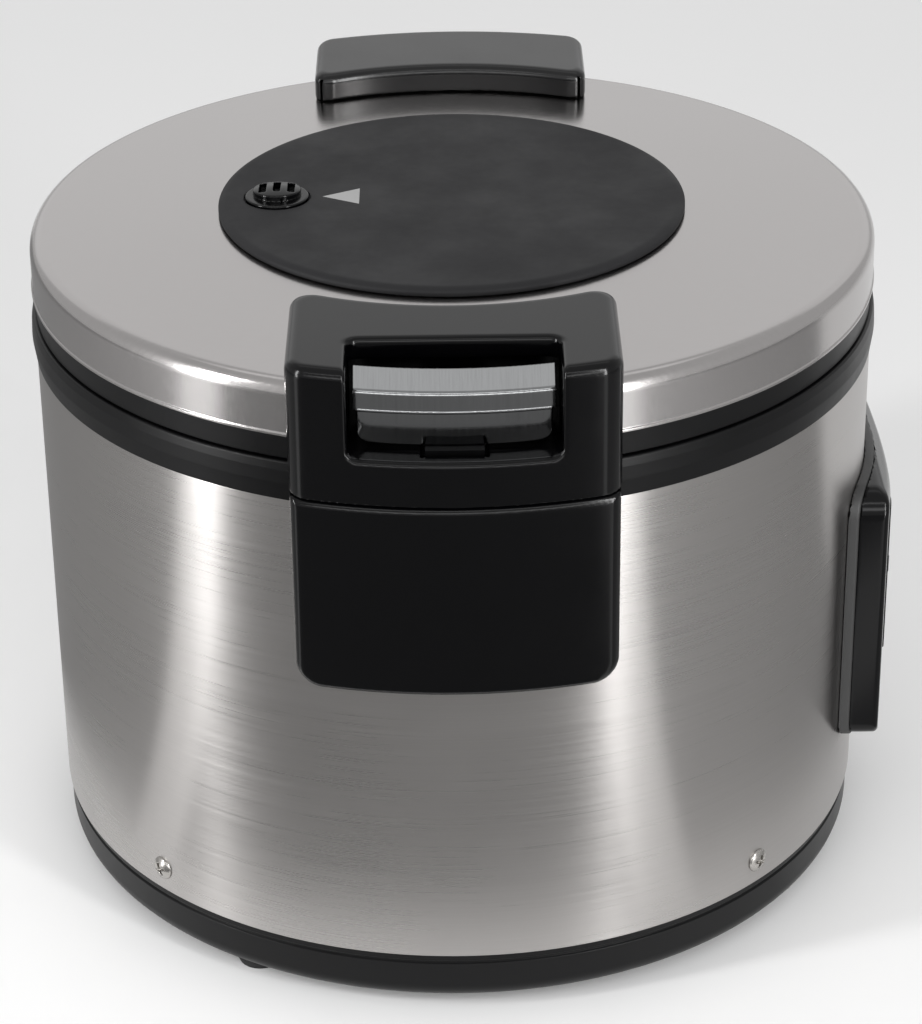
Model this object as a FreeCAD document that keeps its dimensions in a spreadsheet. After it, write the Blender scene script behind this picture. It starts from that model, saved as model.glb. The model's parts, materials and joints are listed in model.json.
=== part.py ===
import FreeCAD, Part
import math
import os

import Sketcher
from FreeCAD import Placement, Rotation, Vector

# Drum rice cooker with a hinged lid, millimetres.
# The drum axis is Z, the floor is z = 0, the lid latch faces -Y, the lid hinge is at +Y
# and the control box is on the +X side.

SIZES = {
    # drum and its levels above the floor
    "drum_radius": 190.0,
    "sheet_wall": 1.0,
    "plastic_wall": 2.8,
    "gap": 0.4,
    "foot_height": 5.0,
    "shell_bottom": 30.0,
    "shell_top": 250.0,
    "lid_joint": 268.0,
    "skin_bottom": 279.0,
    "skin_shoulder": 304.0,
    "disc_bottom": 308.0,
    "disc_top": 312.0,
    "housing_top": 319.0,
    # lid furniture
    "disc_radius": 105.0,
    "vent_offset": 78.6,
    "vent_radius": 14.3,
    "vent_top": 316.6,
    # front latch and rear cover
    "housing_radius": 206.0,
    "housing_half_width": 68.0,
    "latch_rear_radius": 133.5,
    "cover_rear_radius": 149.0,
    "parting": 260.0,
    "housing_bottom": 171.0,
    "recess_half_width": 43.3,
    "recess_rear": 169.0,
    "recess_floor": 279.5,
    "lever_axis_back": 196.4,
    "lever_axis_height": 268.0,
    # rear hinge
    "hinge_back": 200.5,
    "hinge_height": 262.0,
    "hinge_pin_radius": 3.0,
    "knuckle_radius": 6.5,
    "hinge_cover_radius": 209.5,
    "running_fit": 0.05,
    # pot and heating
    "pot_radius": 152.0,
    "pot_wall": 2.0,
    "pot_bottom": 98.3,
    "pot_rim": 271.0,
    "well_radius": 159.0,
    "plate_radius": 110.0,
    "plate_top": 98.0,
    "sensor_radius": 20.0,
    # control box on the right side
    "control_half_width": 70.5,
    "control_bottom": 65.0,
    "control_top": 193.0,
    "control_face": 202.0,
    "switch_axis_out": 184.0,
    "switch_axis_height": 120.0,
}

document = FreeCAD.newDocument("rice_cooker")


class Size:
    """A length that remembers the spreadsheet formula it comes from."""

    def __init__(self, value, formula):
        self.value = value
        self.formula = formula

    def __add__(self, other):
        other = as_size(other)
        return Size(self.value + other.value, f"({self.formula} + {other.formula})")

    def __sub__(self, other):
        other = as_size(other)
        return Size(self.value - other.value, f"({self.formula} - {other.formula})")

    def __radd__(self, other):
        return as_size(other) + self

    def __rsub__(self, other):
        return as_size(other) - self

    def __mul__(self, factor):
        return Size(self.value * factor, f"({self.formula} * {factor})")

    def __truediv__(self, divisor):
        return Size(self.value / divisor, f"({self.formula} / {divisor})")

    def __neg__(self):
        return Size(-self.value, f"(-1 * {self.formula})")


def as_size(number):
    """A plain number becomes a size whose formula is the number itself."""
    if isinstance(number, Size):
        return number
    return Size(float(number), f"{float(number):.6f}")


class SizeSheet:
    """The driving dimensions, one spreadsheet row each, read as attributes."""

    def __init__(self, table):
        sheet = document.addObject("Spreadsheet::Sheet", "Dimensions")
        for row, (alias, value) in enumerate(table.items(), start=1):
            sheet.set(f"A{row}", alias)
            sheet.set(f"B{row}", str(value))
            sheet.setAlias(f"B{row}", alias)
            setattr(self, alias, Size(value, f"Dimensions.{alias}"))


size = SizeSheet(SIZES)
document.recompute()
nodes = []


# Construction helpers


def finish(name, item):
    """Give a finished sub-part its own name and list it for export."""
    item.Label = name
    nodes.append(item)
    return item


def bind(item, **formulas):
    for name, length in formulas.items():
        item.setExpression(name.replace("_", "."), as_size(length).formula)


def move(item, x=0, y=0, z=0):
    for axis, length in (("x", x), ("y", y), ("z", z)):
        item.setExpression(f"Placement.Base.{axis}", as_size(length).formula)
    return item


def box(x_low, x_high, y_low, y_high, z_low, z_high):
    item = document.addObject("Part::Box", "Block")
    bind(
        item,
        Length=as_size(x_high) - x_low,
        Width=as_size(y_high) - y_low,
        Height=as_size(z_high) - z_low,
    )
    return move(item, x_low, y_low, z_low)


def wide_box(half_width, y_low, y_high, z_low, z_high):
    """A block that is symmetric about the plane of the latch and the hinge."""
    half_width = as_size(half_width)
    return box(-half_width, half_width, y_low, y_high, z_low, z_high)


def cylinder(radius, z_low, z_high, x=0, y=0):
    item = document.addObject("Part::Cylinder", "Round")
    bind(item, Radius=radius, Height=as_size(z_high) - z_low)
    return move(item, x, y, z_low)


def cross_cylinder(radius, half_length, y, z):
    """A cylinder along X, centred on the plane of the latch and the hinge."""
    item = document.addObject("Part::Cylinder", "CrossRound")
    half_length = as_size(half_length)
    bind(item, Radius=radius, Height=half_length * 2)
    item.Placement = Placement(Vector(), Rotation(Vector(0, 1, 0), 90))
    return move(item, -half_length, y, z)


def radial_cylinder(radius, near, far, azimuth, z):
    """A cylinder that points away from the drum axis; azimuth is in degrees from +X."""
    item = document.addObject("Part::Cylinder", "RadialRound")
    bind(item, Radius=radius, Height=as_size(far) - near)
    turn = Rotation(Vector(0, 0, 1), azimuth).multiply(Rotation(Vector(0, 1, 0), 90))
    item.Placement = Placement(Vector(), turn)
    angle = math.radians(azimuth)
    near = as_size(near)
    return move(item, near * math.cos(angle), near * math.sin(angle), z)


def fuse(*items):
    joined = document.addObject("Part::MultiFuse", "Joined")
    joined.Shapes = list(items)
    return joined


def cut(base, *tools):
    result = document.addObject("Part::Cut", "Cut")
    result.Base = base
    result.Tool = tools[0] if len(tools) == 1 else fuse(*tools)
    return result


def common(first, second):
    result = document.addObject("Part::Common", "Common")
    result.Base = first
    result.Tool = second
    return result


def group(*items):
    """Several separate solids that are one kind of piece."""
    gathered = document.addObject("Part::Compound", "Group")
    gathered.Links = list(items)
    return gathered


def tube(outer, inner, z_low, z_high):
    return cut(cylinder(outer, z_low, z_high), cylinder(inner, z_low, z_high))


def rounded(base, radius, wanted):
    """Round the edges for which wanted(edge) is true."""
    document.recompute()
    item = document.addObject("Part::Fillet", "Rounded")
    item.Base = base
    edges = enumerate(base.Shape.Edges, start=1)
    item.Edges = [(index, radius, radius) for index, edge in edges if wanted(edge)]
    return item


def edge_runs_along(edge, direction):
    if not isinstance(edge.Curve, Part.Line):
        return False
    return abs(edge.Curve.Direction.dot(direction)) > 0.999


def edge_stays_at(edge, height):
    bounds = edge.BoundBox
    return abs(bounds.ZMin - height) < 0.01 and abs(bounds.ZMax - height) < 0.01


def edge_middle(edge):
    return edge.valueAt((edge.FirstParameter + edge.LastParameter) / 2)


def turned(corners, rounded_corners=None):
    """A body turned about the drum axis from its half section.

    corners lists (radius, height) sizes. rounded_corners maps a corner's place in the list
    to the radius of the fillet there.
    """
    body = document.addObject("PartDesign::Body", "Turned")
    sketch = body.newObject("Sketcher::SketchObject", "Section")
    planes = {feature.Role: feature for feature in body.Origin.OriginFeatures}
    sketch.AttachmentSupport = (planes["XZ_Plane"], [""])
    sketch.MapMode = "FlatFace"
    points = [(as_size(radius), as_size(height)) for radius, height in corners]
    places = [Vector(radius.value, height.value, 0) for radius, height in points]
    count = len(points)
    for index in range(count):
        sketch.addGeometry(Part.LineSegment(places[index], places[(index + 1) % count]), False)
    for index in range(count):
        sketch.addConstraint(Sketcher.Constraint("Coincident", index, 2, (index + 1) % count, 1))
    for index, (radius, height) in enumerate(points):
        if abs(radius.value) < 1e-6:
            sketch.addConstraint(Sketcher.Constraint("PointOnObject", index, 1, -2))
        else:
            across = Sketcher.Constraint("DistanceX", -1, 1, index, 1, radius.value)
            sketch.setExpression(f"Constraints[{sketch.addConstraint(across)}]", radius.formula)
        above = Sketcher.Constraint("DistanceY", -1, 1, index, 1, height.value)
        sketch.setExpression(f"Constraints[{sketch.addConstraint(above)}]", height.formula)
    turn = body.newObject("PartDesign::Revolution", "Turn")
    turn.Profile = sketch
    turn.ReferenceAxis = (sketch, ["V_Axis"])
    turn.Angle = 360
    body.Tip = turn
    for index, radius in (rounded_corners or {}).items():
        document.recompute()
        before = body.Tip
        here = places[index]
        rim = [
            f"Edge{number}"
            for number, edge in enumerate(before.Shape.Edges, start=1)
            if isinstance(edge.Curve, Part.Circle)
            and abs(edge.Curve.Radius - here.x) < 0.01
            and edge_stays_at(edge, here.y)
        ]
        fillet = body.newObject("PartDesign::Fillet", "Rounding")
        fillet.Base = (before, rim)
        fillet.Radius = radius
        body.Tip = fillet
    return body


def arc_block(outer, inner, half_width, z_low, z_high, toward):
    """A block bent round the drum, with parallel sides. toward is -1 for front, 1 for rear."""
    far = size.drum_radius * (2 * toward)
    near = far * 0
    low, high = (far, near) if toward < 0 else (near, far)
    ring = tube(outer, inner, z_low, z_high)
    return common(ring, wide_box(half_width, low, high, z_low, z_high))


def pan_head_screw(head_radius, head_height, shank_radius, shank_length):
    """One cross-head screw standing on z = 0 with its shank below, as a plain shape."""
    dome = Part.makeCylinder(head_radius, head_height)
    dome = dome.makeFillet(head_height * 0.6, [dome.Edges[0]])
    slot_length = head_radius * 1.1
    slot_width = head_radius * 0.24
    slot_depth = head_height * 0.6
    slot = Part.makeBox(slot_length, slot_width, slot_depth)
    slot.translate(Vector(-slot_length / 2, -slot_width / 2, head_height - slot_depth))
    crossed = slot.copy()
    crossed.rotate(Vector(), Vector(0, 0, 1), 90)
    shank = Part.makeCylinder(shank_radius, shank_length, Vector(0, 0, -shank_length))
    return dome.cut(slot).cut(crossed).fuse(shank)


def screw_group(name, shape, places):
    """Identical screws; each place is (point of the seat, direction the head faces, spin)."""
    screws = []
    for point, direction, spin in places:
        turn = Rotation(Vector(0, 0, 1), direction).multiply(Rotation(Vector(0, 0, 1), spin))
        screw = shape.copy()
        screw.Placement = Placement(point, turn)
        screws.append(screw)
    item = document.addObject("Part::Feature", "Screws")
    item.Shape = Part.makeCompound(screws)
    item.Placement = Placement()
    return finish(name, item)


def around(radius, azimuth, height):
    angle = math.radians(azimuth)
    return Vector(radius * math.cos(angle), radius * math.sin(angle), height)


UP = Vector(0, 0, 1)
DOWN = Vector(0, 0, -1)
SIDEWAYS = Vector(1, 0, 0)
QUARTERS = (45, 135, 225, 315)
FOOT_AZIMUTHS = (58, 148, 238, 328)
SHELL_SCREW_RISE = 11.5
FOOT_CIRCLE = 172.0
CATCH_SCREW_AZIMUTHS = (267, 273)
CATCH_SCREW_DROP = 23.0


# Lower body: shell, base, feet and fasteners


def outer_shell():
    """Rolled stainless drum, open at both ends, with a window behind the control box."""
    drum = tube(size.drum_radius, size.drum_radius - size.sheet_wall, size.shell_bottom, size.shell_top)
    switch_window = box(150, 210, -40, 40, 80, 165)
    inlet_window = wide_box(16.5, 150, 210, 58.5, 87.5)
    holes = [
        radial_cylinder(2.2, 170, 200, azimuth, size.shell_bottom + SHELL_SCREW_RISE)
        for azimuth in QUARTERS
    ]
    holes += [
        radial_cylinder(1.6, 170, 200, azimuth, size.shell_top - CATCH_SCREW_DROP)
        for azimuth in CATCH_SCREW_AZIMUTHS
    ]
    return finish("outer_shell", cut(drum, switch_window, inlet_window, *holes))


def base_pan():
    """Black moulded base: a tray whose upstand sits inside the drum."""
    outside = size.drum_radius - 1.2
    upstand = size.drum_radius - size.sheet_wall - 0.4
    section = [
        (150, size.foot_height),
        (outside, size.foot_height),
        (outside, size.shell_bottom - 0.3),
        (upstand, size.shell_bottom - 0.3),
        (upstand, size.shell_bottom + 20),
        (upstand - 3, size.shell_bottom + 20),
        (upstand - 3, size.foot_height + 3),
        (150, size.foot_height + 3),
    ]
    tray = turned(section, {1: 8, 6: 5})
    holes = [
        radial_cylinder(2.05, 180, 200, azimuth, size.shell_bottom + SHELL_SCREW_RISE)
        for azimuth in QUARTERS
    ]
    for azimuth in FOOT_AZIMUTHS:
        spot = around(FOOT_CIRCLE, azimuth, 0)
        holes.append(cylinder(2.1, 0, 20, spot.x, spot.y))
    for azimuth in QUARTERS:
        spot = around(154, azimuth, 0)
        holes.append(cylinder(1.8, 0, 20, spot.x, spot.y))
    inlet_notch = wide_box(27, 150, 200, size.shell_bottom + 15, size.shell_bottom + 25)
    return finish("base_pan", cut(tray, inlet_notch, *holes))


def bottom_plate():
    """Removable steel floor inside the base, with rings of cooling slots."""
    top = size.foot_height + 4.2
    plate = cylinder(160, size.foot_height + 3.05, top)
    slots = []
    for azimuth in range(0, 360, 30):
        slot = document.addObject("Part::Box", "Slot")
        bind(slot, Length=34, Width=5, Height=4)
        offset = Rotation(Vector(0, 0, 1), azimuth)
        slot.Placement = Placement(offset.multVec(Vector(104, -2.5, 6.5)), offset)
        slots.append(slot)
    for azimuth in QUARTERS:
        spot = around(154, azimuth, 0)
        slots.append(cylinder(1.8, 0, 20, spot.x, spot.y))
    return finish("bottom_plate", cut(plate, *slots))


def rubber_feet():
    """Four moulded rubber feet with a sunk screw hole."""
    feet = []
    for azimuth in FOOT_AZIMUTHS:
        spot = around(FOOT_CIRCLE, azimuth, 0)
        pad = document.addObject("Part::Cone", "Pad")
        bind(pad, Radius1=9.5, Radius2=11, Height=size.foot_height - 0.05)
        move(pad, spot.x, spot.y, 0)
        well = cylinder(4.4, 0, 3, spot.x, spot.y)
        hole = cylinder(2.1, 0, 6, spot.x, spot.y)
        feet.append(cut(pad, well, hole))
    return finish("rubber_feet", group(*feet))


def lower_fasteners():
    """Screws of the drum, the feet and the floor plate."""
    drum_screw = pan_head_screw(5.8, 2.6, 2.0, 6.0)
    height = size.shell_bottom.value + SHELL_SCREW_RISE
    places = []
    for spin, azimuth in enumerate(QUARTERS):
        seat = around(size.drum_radius.value, azimuth, height)
        places.append((seat, around(1, azimuth, 0), 20 + 35 * spin))
    screw_group("shell_screws", drum_screw, places)
    foot_screw = pan_head_screw(4.0, 2.0, 2.0, 6.5)
    places = [(around(FOOT_CIRCLE, azimuth, 2.95), DOWN, azimuth) for azimuth in FOOT_AZIMUTHS]
    screw_group("foot_screws", foot_screw, places)
    floor_screw = pan_head_screw(3.4, 1.8, 1.7, 6.5)
    floor = size.foot_height.value
    places = [(around(154, azimuth, floor), DOWN, azimuth) for azimuth in QUARTERS]
    screw_group("floor_screws", floor_screw, places)


def body_collar():
    """Black rim moulding that closes the drum and carries the pot well."""
    edge = size.drum_radius
    top = size.lid_joint
    section = [
        (edge + 0.5, size.shell_top + 0.05),
        (edge + 1.6, size.shell_top + 8),
        (edge + 1.2, top - 4),
        (edge + 0.4, top),
        (160, top),
        (160, top - 13),
        (163, top - 13),
        (163, top - 3),
        (edge - 4.4, top - 3),
        (edge - 4.4, size.shell_top - 10),
        (edge - 1.4, size.shell_top - 10),
        (edge - 1.4, size.shell_top + 0.05),
    ]
    return finish("body_collar", turned(section))


# Heating: well, pot, hot plate, sensor


def pot_well():
    """Pressed steel well that hangs from the collar by its flange."""
    top = size.lid_joint
    inner = size.well_radius - 1
    floor = 92
    section = [
        (inner, top + 0.9),
        (167, top + 0.9),
        (167, top + 0.1),
        (size.well_radius, top + 0.1),
        (size.well_radius, floor),
        (size.plate_radius + 1.5, floor),
        (size.plate_radius + 1.5, floor + 1),
        (inner, floor + 1),
    ]
    return finish("pot_well", turned(section))


def inner_pot():
    """Spun aluminium cooking pot with a rolled-out rim."""
    outer = size.pot_radius
    inner = outer - size.pot_wall
    floor = size.pot_bottom
    section = [
        (0, floor),
        (outer, floor),
        (outer, size.pot_rim - 2),
        (164, size.pot_rim - 2),
        (164, size.pot_rim),
        (inner, size.pot_rim),
        (inner, floor + 2.5),
        (0, floor + 2.5),
    ]
    return finish("inner_pot", turned(section, {1: 24, 6: 22}))


def heater_plate():
    """Cast aluminium hot plate; the rib underneath holds the heating element."""
    top = size.plate_top
    hole = size.sensor_radius + 2
    section = [
        (hole, top - 18),
        (68, top - 18),
        (70, top - 25),
        (86, top - 25),
        (88, top - 18),
        (size.plate_radius, top - 14),
        (size.plate_radius, top),
        (hole, top),
    ]
    return finish("heater_plate", turned(section))


def heater_posts():
    """Three turned posts between the floor plate and the hot plate."""
    posts = []
    for azimuth in (30, 150, 270):
        spot = around(56, azimuth, 0)
        low = size.foot_height + 4.25
        posts.append(cylinder(5, low, size.plate_top - 18.05, spot.x, spot.y))
    return finish("heater_posts", group(*posts))


def sensor():
    """Spring-loaded temperature capsule in the middle of the hot plate."""
    radius = size.sensor_radius
    top = size.plate_top
    cap = turned([
        (0, top),
        (radius, top),
        (radius, top - 14),
        (radius - 1.5, top - 14),
        (radius - 1.5, top - 2),
        (0, top - 2),
    ])
    finish("sensor_cap", cap)
    floor = top - 34
    housing = turned([
        (0, floor),
        (radius - 2.5, floor),
        (radius - 2.5, top - 20),
        (radius + 14, top - 20),
        (radius + 14, top - 18.1),
        (radius - 4.5, top - 18.1),
        (radius - 4.5, floor + 2),
        (0, floor + 2),
    ])
    finish("sensor_housing", housing)
    coil_low = floor + 3.1
    coil_radius = 9.0
    wire_radius = 0.8
    rise = 2.6
    tilt = math.degrees(math.atan(rise / (2 * coil_radius)))
    half_turns = []
    for number in range(10):
        side = number % 2
        half_turn = document.addObject("Part::Torus", "HalfTurn")
        bind(half_turn, Radius1=math.hypot(coil_radius, rise / 2), Radius2=wire_radius)
        half_turn.Angle3 = 180
        lean = Rotation(Vector(0, 1, 0), -tilt if side else tilt)
        half_turn.Placement = Placement(Vector(), lean.multiply(Rotation(UP, 180 * side)))
        move(half_turn, 0, 0, coil_low + rise * (number + 0.5))
        half_turns.append(half_turn)
    spring = fuse(*half_turns)
    finish("sensor_spring", spring)


def warmth():
    """Keep-warm band heater and the fibre blanket, both wrapped round the well."""
    well = size.well_radius
    finish("warming_band", cut(
        tube(well + 1.6, well + 0.3, 130, 190),
        wide_box(8, 140, 175, 125, 195),
    ))
    finish("insulation_blanket", tube(176, well + 3, 104, 240))


# Front housing on the body, catch plate


def front_housing():
    """Moulded front cover: the catch is behind its upper half, the lower half is a grip."""
    drum = size.drum_radius + size.gap
    wall = size.plastic_wall
    bottom = size.housing_bottom
    top = size.parting - 0.25
    half = size.housing_half_width - 0.5
    block = arc_block(size.housing_radius - 0.4, drum, half, bottom, top, -1)
    block = rounded(block, 11, lambda edge: (
        abs(edge_middle(edge).z - bottom.value) < 0.5 and edge.Length < 30
    ))
    block = rounded(block, 4, lambda edge: (
        edge_runs_along(edge, UP) and edge_middle(edge).y < -194
    ))
    inside = size.housing_radius - 0.4 - wall
    rib = bottom + 44
    grip = arc_block(inside, drum - 5, half - wall, bottom - 5, rib, -1)
    catch_space = arc_block(inside, drum - 5, half - wall, rib + wall, top - wall, -1)
    hook_slot = wide_box(16, -inside, -(size.drum_radius - 10), top - 10, top + 5)
    collar_space = cylinder(size.drum_radius + 2.1, size.shell_top - 0.5, top + 5)
    return finish("front_housing", cut(block, grip, catch_space, hook_slot, collar_space))


def catch_plate():
    """Bent steel catch: its upper lip holds the hook."""
    inner = size.drum_radius + 0.3
    face = inner + 1.5
    top = size.shell_top - 1
    back = arc_block(face, inner, 16, top - 30, top, -1)
    lip = arc_block(size.drum_radius + 4.8, face - 0.5, 16, top - 2, top, -1)
    plate = fuse(back, lip)
    screw_height = size.shell_top - CATCH_SCREW_DROP
    holes = [radial_cylinder(1.6, 180, 200, azimuth, screw_height) for azimuth in CATCH_SCREW_AZIMUTHS]
    finish("catch_plate", cut(plate, *holes))
    screw = pan_head_screw(3.0, 1.7, 1.55, 3.4)
    places = [
        (around(face.value, azimuth, screw_height.value), around(1, azimuth, 0), azimuth)
        for azimuth in CATCH_SCREW_AZIMUTHS
    ]
    screw_group("catch_screws", screw, places)


# Rear hinge


def hinge_bracket():
    """Folded steel bracket with two ears that hold the hinge pin."""
    drum = size.drum_radius + 0.3
    plate = arc_block(drum + 2.5, drum, 30, size.shell_top - 58, size.shell_top - 3.8, 1)
    ears = []
    bottom = size.shell_top - 50
    for side in (-1, 1):
        low, high = sorted((side * 24, side * 27))
        arm = box(low, high, 191.0, 204.0, bottom, size.shell_top - 2)
        neck = box(low, high, 192.7, size.hinge_back + 8, size.shell_top - 2.2, size.hinge_height)
        ears += [arm, neck]
    eye = cut(
        cross_cylinder(8, 27, size.hinge_back, size.hinge_height),
        cross_cylinder(12, 24, size.hinge_back, size.hinge_height),
    )
    bore = cross_cylinder(
        size.hinge_pin_radius + size.running_fit, 40, size.hinge_back, size.hinge_height
    )
    return finish("hinge_bracket", cut(fuse(plate, eye, *ears), bore))


def hinge_housing():
    """Moulded cover over the hinge bracket; its lower half is the rear grip."""
    drum = size.drum_radius + size.gap
    wall = size.plastic_wall
    bottom = size.housing_bottom
    top = size.shell_top - 0.5
    half = size.housing_half_width - 2
    block = arc_block(size.hinge_cover_radius, drum, half, bottom, top, 1)
    block = rounded(block, 11, lambda edge: (
        abs(edge_middle(edge).z - bottom.value) < 0.5 and edge.Length < 30
    ))
    block = rounded(block, 5, lambda edge: (
        edge_runs_along(edge, UP) and edge_middle(edge).y > 196
    ))
    inside = size.hinge_cover_radius - wall
    rib = bottom + 14
    grip = arc_block(inside, drum - 5, half - wall, bottom - 5, rib, 1)
    room = arc_block(inside, drum - 5, half - wall, rib + wall, top - wall, 1)
    ear_slot = wide_box(29, 185, size.hinge_back + 8.6, top - 10, top + 5)
    return finish("hinge_housing", cut(block, grip, room, ear_slot))


def hinge_pin():
    """Headed steel pin through both ears and the lid's knuckle, with a ring at its plain end."""
    shank = cross_cylinder(size.hinge_pin_radius, 30, size.hinge_back, size.hinge_height)
    head = document.addObject("Part::Cylinder", "Head")
    bind(head, Radius=5, Height=2.5)
    head.Placement = Placement(Vector(), Rotation(Vector(0, 1, 0), 90))
    move(head, 27.3, size.hinge_back, size.hinge_height)
    finish("hinge_pin", fuse(shank, head))
    ring = document.addObject("Part::Cylinder", "Ring")
    bind(ring, Radius=5, Height=1)
    ring.Placement = Placement(Vector(), Rotation(Vector(0, 1, 0), 90))
    move(ring, -28.6, size.hinge_back, size.hinge_height)
    hole = cross_cylinder(size.hinge_pin_radius + 0.02, 35, size.hinge_back, size.hinge_height)
    finish("hinge_clip", cut(ring, hole))


# Control box on the right side


def control_outline(inset, low_x):
    """The control box's outside form, drawn in by inset all round."""
    half = size.control_half_width - inset
    bottom = size.control_bottom + inset
    top = size.control_top - inset
    block = box(low_x, size.control_face + 6, -half, half, bottom, top)
    block = rounded(block, 13 - inset, lambda edge: (
        edge_runs_along(edge, SIDEWAYS) and edge_middle(edge).z > 150
    ))
    block = rounded(block, 8 - inset, lambda edge: (
        edge_runs_along(edge, SIDEWAYS) and edge_middle(edge).z < 150
    ))
    bulge = 396.0
    face = cylinder(bulge - inset, 40, 220, size.control_face - bulge, 0)
    slope = document.addObject("Part::Box", "Slope")
    bind(slope, Length=40, Width=160, Height=40)
    slope.Placement = Placement(Vector(), Rotation(Vector(0, 1, 0), 50))
    move(slope, size.control_face - 9 - inset, -80, size.control_top - inset * 0.4)
    return cut(common(block, face), slope)


def control_box():
    """Black box with a bulged face and a sloped top, on a grey frame against the drum."""
    drum = size.drum_radius
    frame_depth = 4.6
    frame = common(
        control_outline(0.0, 165),
        cylinder(drum + frame_depth, 40, 220),
    )
    window = box(160, 210, -55, 55, size.control_bottom + 14, size.control_top - 26)
    finish("control_frame", cut(frame, cylinder(drum + 0.3, 30, 230), window))
    shell = cut(control_outline(0.8, 165), cylinder(drum + frame_depth + 0.1, 30, 230))
    hollow = control_outline(3.4, 160)
    panel_seat = box(size.control_face - 1.8, 215, -27, 27, 88, 168)
    panel_hole = box(190, 215, -23, 23, 92, 164)
    finish("control_box", cut(shell, hollow, panel_seat, panel_hole))


def control_panel():
    """Switch panel let into the box, with the lever slot and two lamp holes."""
    back = size.control_face - 1.7
    face = size.control_face + 0.2
    panel = box(back, face, -26.7, 26.7, 88.3, 167.7)
    panel = rounded(panel, 3, lambda edge: edge_runs_along(edge, SIDEWAYS))
    slot = box(180, 215, -9, 9, 104, 136)
    lamp_holes = [lamp_rod(5.05, 190, 215, side) for side in (-1, 1)]
    finish("control_panel", cut(panel, slot, *lamp_holes))


LAMP_SPREAD = 12.0
LAMP_HEIGHT = 152.0


def lamp_rod(radius, x_low, x_high, side):
    rod = document.addObject("Part::Cylinder", "LampRod")
    bind(rod, Radius=radius, Height=as_size(x_high) - x_low)
    rod.Placement = Placement(Vector(), Rotation(Vector(0, 1, 0), 90))
    return move(rod, x_low, side * LAMP_SPREAD, LAMP_HEIGHT)


def lamps():
    """Two round lamp lenses with a collar behind the panel."""
    for name, side in (("cook_lamp", -1), ("warm_lamp", 1)):
        stem = lamp_rod(4.95, size.control_face - 8, size.control_face + 0.9, side)
        collar = lamp_rod(6.2, size.control_face - 4, size.control_face - 1.75, side)
        lens = rounded(fuse(stem, collar), 0.7, lambda edge: edge_middle(edge).x > 202.5)
        finish(name, lens)


def switch_parts():
    """Cook lever on its pin, the steel bracket that holds it, and the switch it presses."""
    out = size.switch_axis_out
    height = size.switch_axis_height
    hub = document.addObject("Part::Cylinder", "Hub")
    bind(hub, Radius=4, Height=16)
    hub.Placement = Placement(Vector(), Rotation(SIDEWAYS, 90))
    move(hub, out, 8, height)
    arm = box(out, size.control_face - 5, -5, 5, height - 2.5, height + 6)
    paddle = box(size.control_face - 6, size.control_face + 3.6, -8, 8, height - 1, height + 9)
    paddle = rounded(paddle, 1.8, lambda edge: edge_middle(edge).x > 204)
    bore = document.addObject("Part::Cylinder", "Bore")
    bind(bore, Radius=1.5 + size.running_fit.value, Height=60)
    bore.Placement = Placement(Vector(), Rotation(SIDEWAYS, 90))
    move(bore, out, 30, height)
    finish("cook_lever", cut(fuse(hub, arm, paddle), bore))
    pin = document.addObject("Part::Cylinder", "Pin")
    bind(pin, Radius=1.5, Height=26)
    pin.Placement = Placement(Vector(), Rotation(SIDEWAYS, 90))
    move(pin, out, 13, height)
    finish("switch_pin", pin)
    plate = box(out - 7.5, out - 6, -14, 14, 90, 140)
    ears = [box(out - 6.5, out + 4, side * 11 - 1, side * 11 + 1, 110, 128) for side in (-1, 1)]
    shelf = box(out - 6.5, out + 3, -14, 14, 90, 91.5)
    clear = document.addObject("Part::Cylinder", "Clear")
    bind(clear, Radius=1.5 + size.running_fit.value, Height=60)
    clear.Placement = Placement(Vector(), Rotation(SIDEWAYS, 90))
    move(clear, out, 30, height)
    finish("switch_bracket", cut(fuse(plate, shelf, *ears), clear))
    finish("micro_switch", fuse(
        box(out - 5.9, out + 2, -10, 10, 91.6, 104),
        box(out - 2, out, -2, 2, 103.5, 105.5),
    ))


def wiring():
    """Terminal block, cut-out fuse, rear power inlet and the loom between them."""
    block = box(-150, -128, -30, 30, size.foot_height + 4.3, size.foot_height + 20)
    wells = [
        cylinder(4, size.foot_height + 9, size.foot_height + 25, -139, offset)
        for offset in (-22.5, -7.5, 7.5, 22.5)
    ]
    finish("terminal_block", cut(block, *wells))
    fuse_body = cylinder(4, size.plate_top - 46, size.plate_top - 26, 34, 40)
    finish("thermal_fuse", fuse(fuse_body, cylinder(1.2, 45, size.plate_top - 18.1, 34, 40)))
    flange = wide_box(24, 186.2, size.drum_radius + 3, 57, 89)
    flange = cut(flange, cylinder(size.drum_radius + 0.3, 50, 100))
    body = wide_box(16, 166, size.drum_radius + 2, 59, 87)
    socket = wide_box(12.5, 171, 200, 64, 82)
    shell = cut(fuse(flange, body), socket)
    blades = []
    for x, z in ((-7, 71), (0, 76.5), (7, 71)):
        blade = box(x - 1, x + 1, 168, 183, z - 2.5, z + 2.5)
        blades.append(blade)
    finish("power_inlet", fuse(shell, *blades))
    loom = document.addObject("Part::Torus", "Loom")
    bind(loom, Radius1=182, Radius2=2.6)
    loom.Angle3 = 68
    loom.Placement = Placement(Vector(), Rotation(UP, 13))
    move(loom, 0, 0, 75)
    finish("wiring_loom", loom)


# Lid: skin, ring, inner parts, centre disc and vent


NOTCH_HALF_WIDTH = 47.0
NOTCH_DEPTH_RADIUS = 149.0


def latch_notch(extra, z_low):
    """The space in the lid's front edge that the latch housing fills."""
    return wide_box(
        NOTCH_HALF_WIDTH + extra, -220, -(NOTCH_DEPTH_RADIUS - extra), z_low, size.housing_top
    )


def vent_hole(radius):
    return cylinder(radius, 200, 340, -size.vent_offset, 0)


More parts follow.
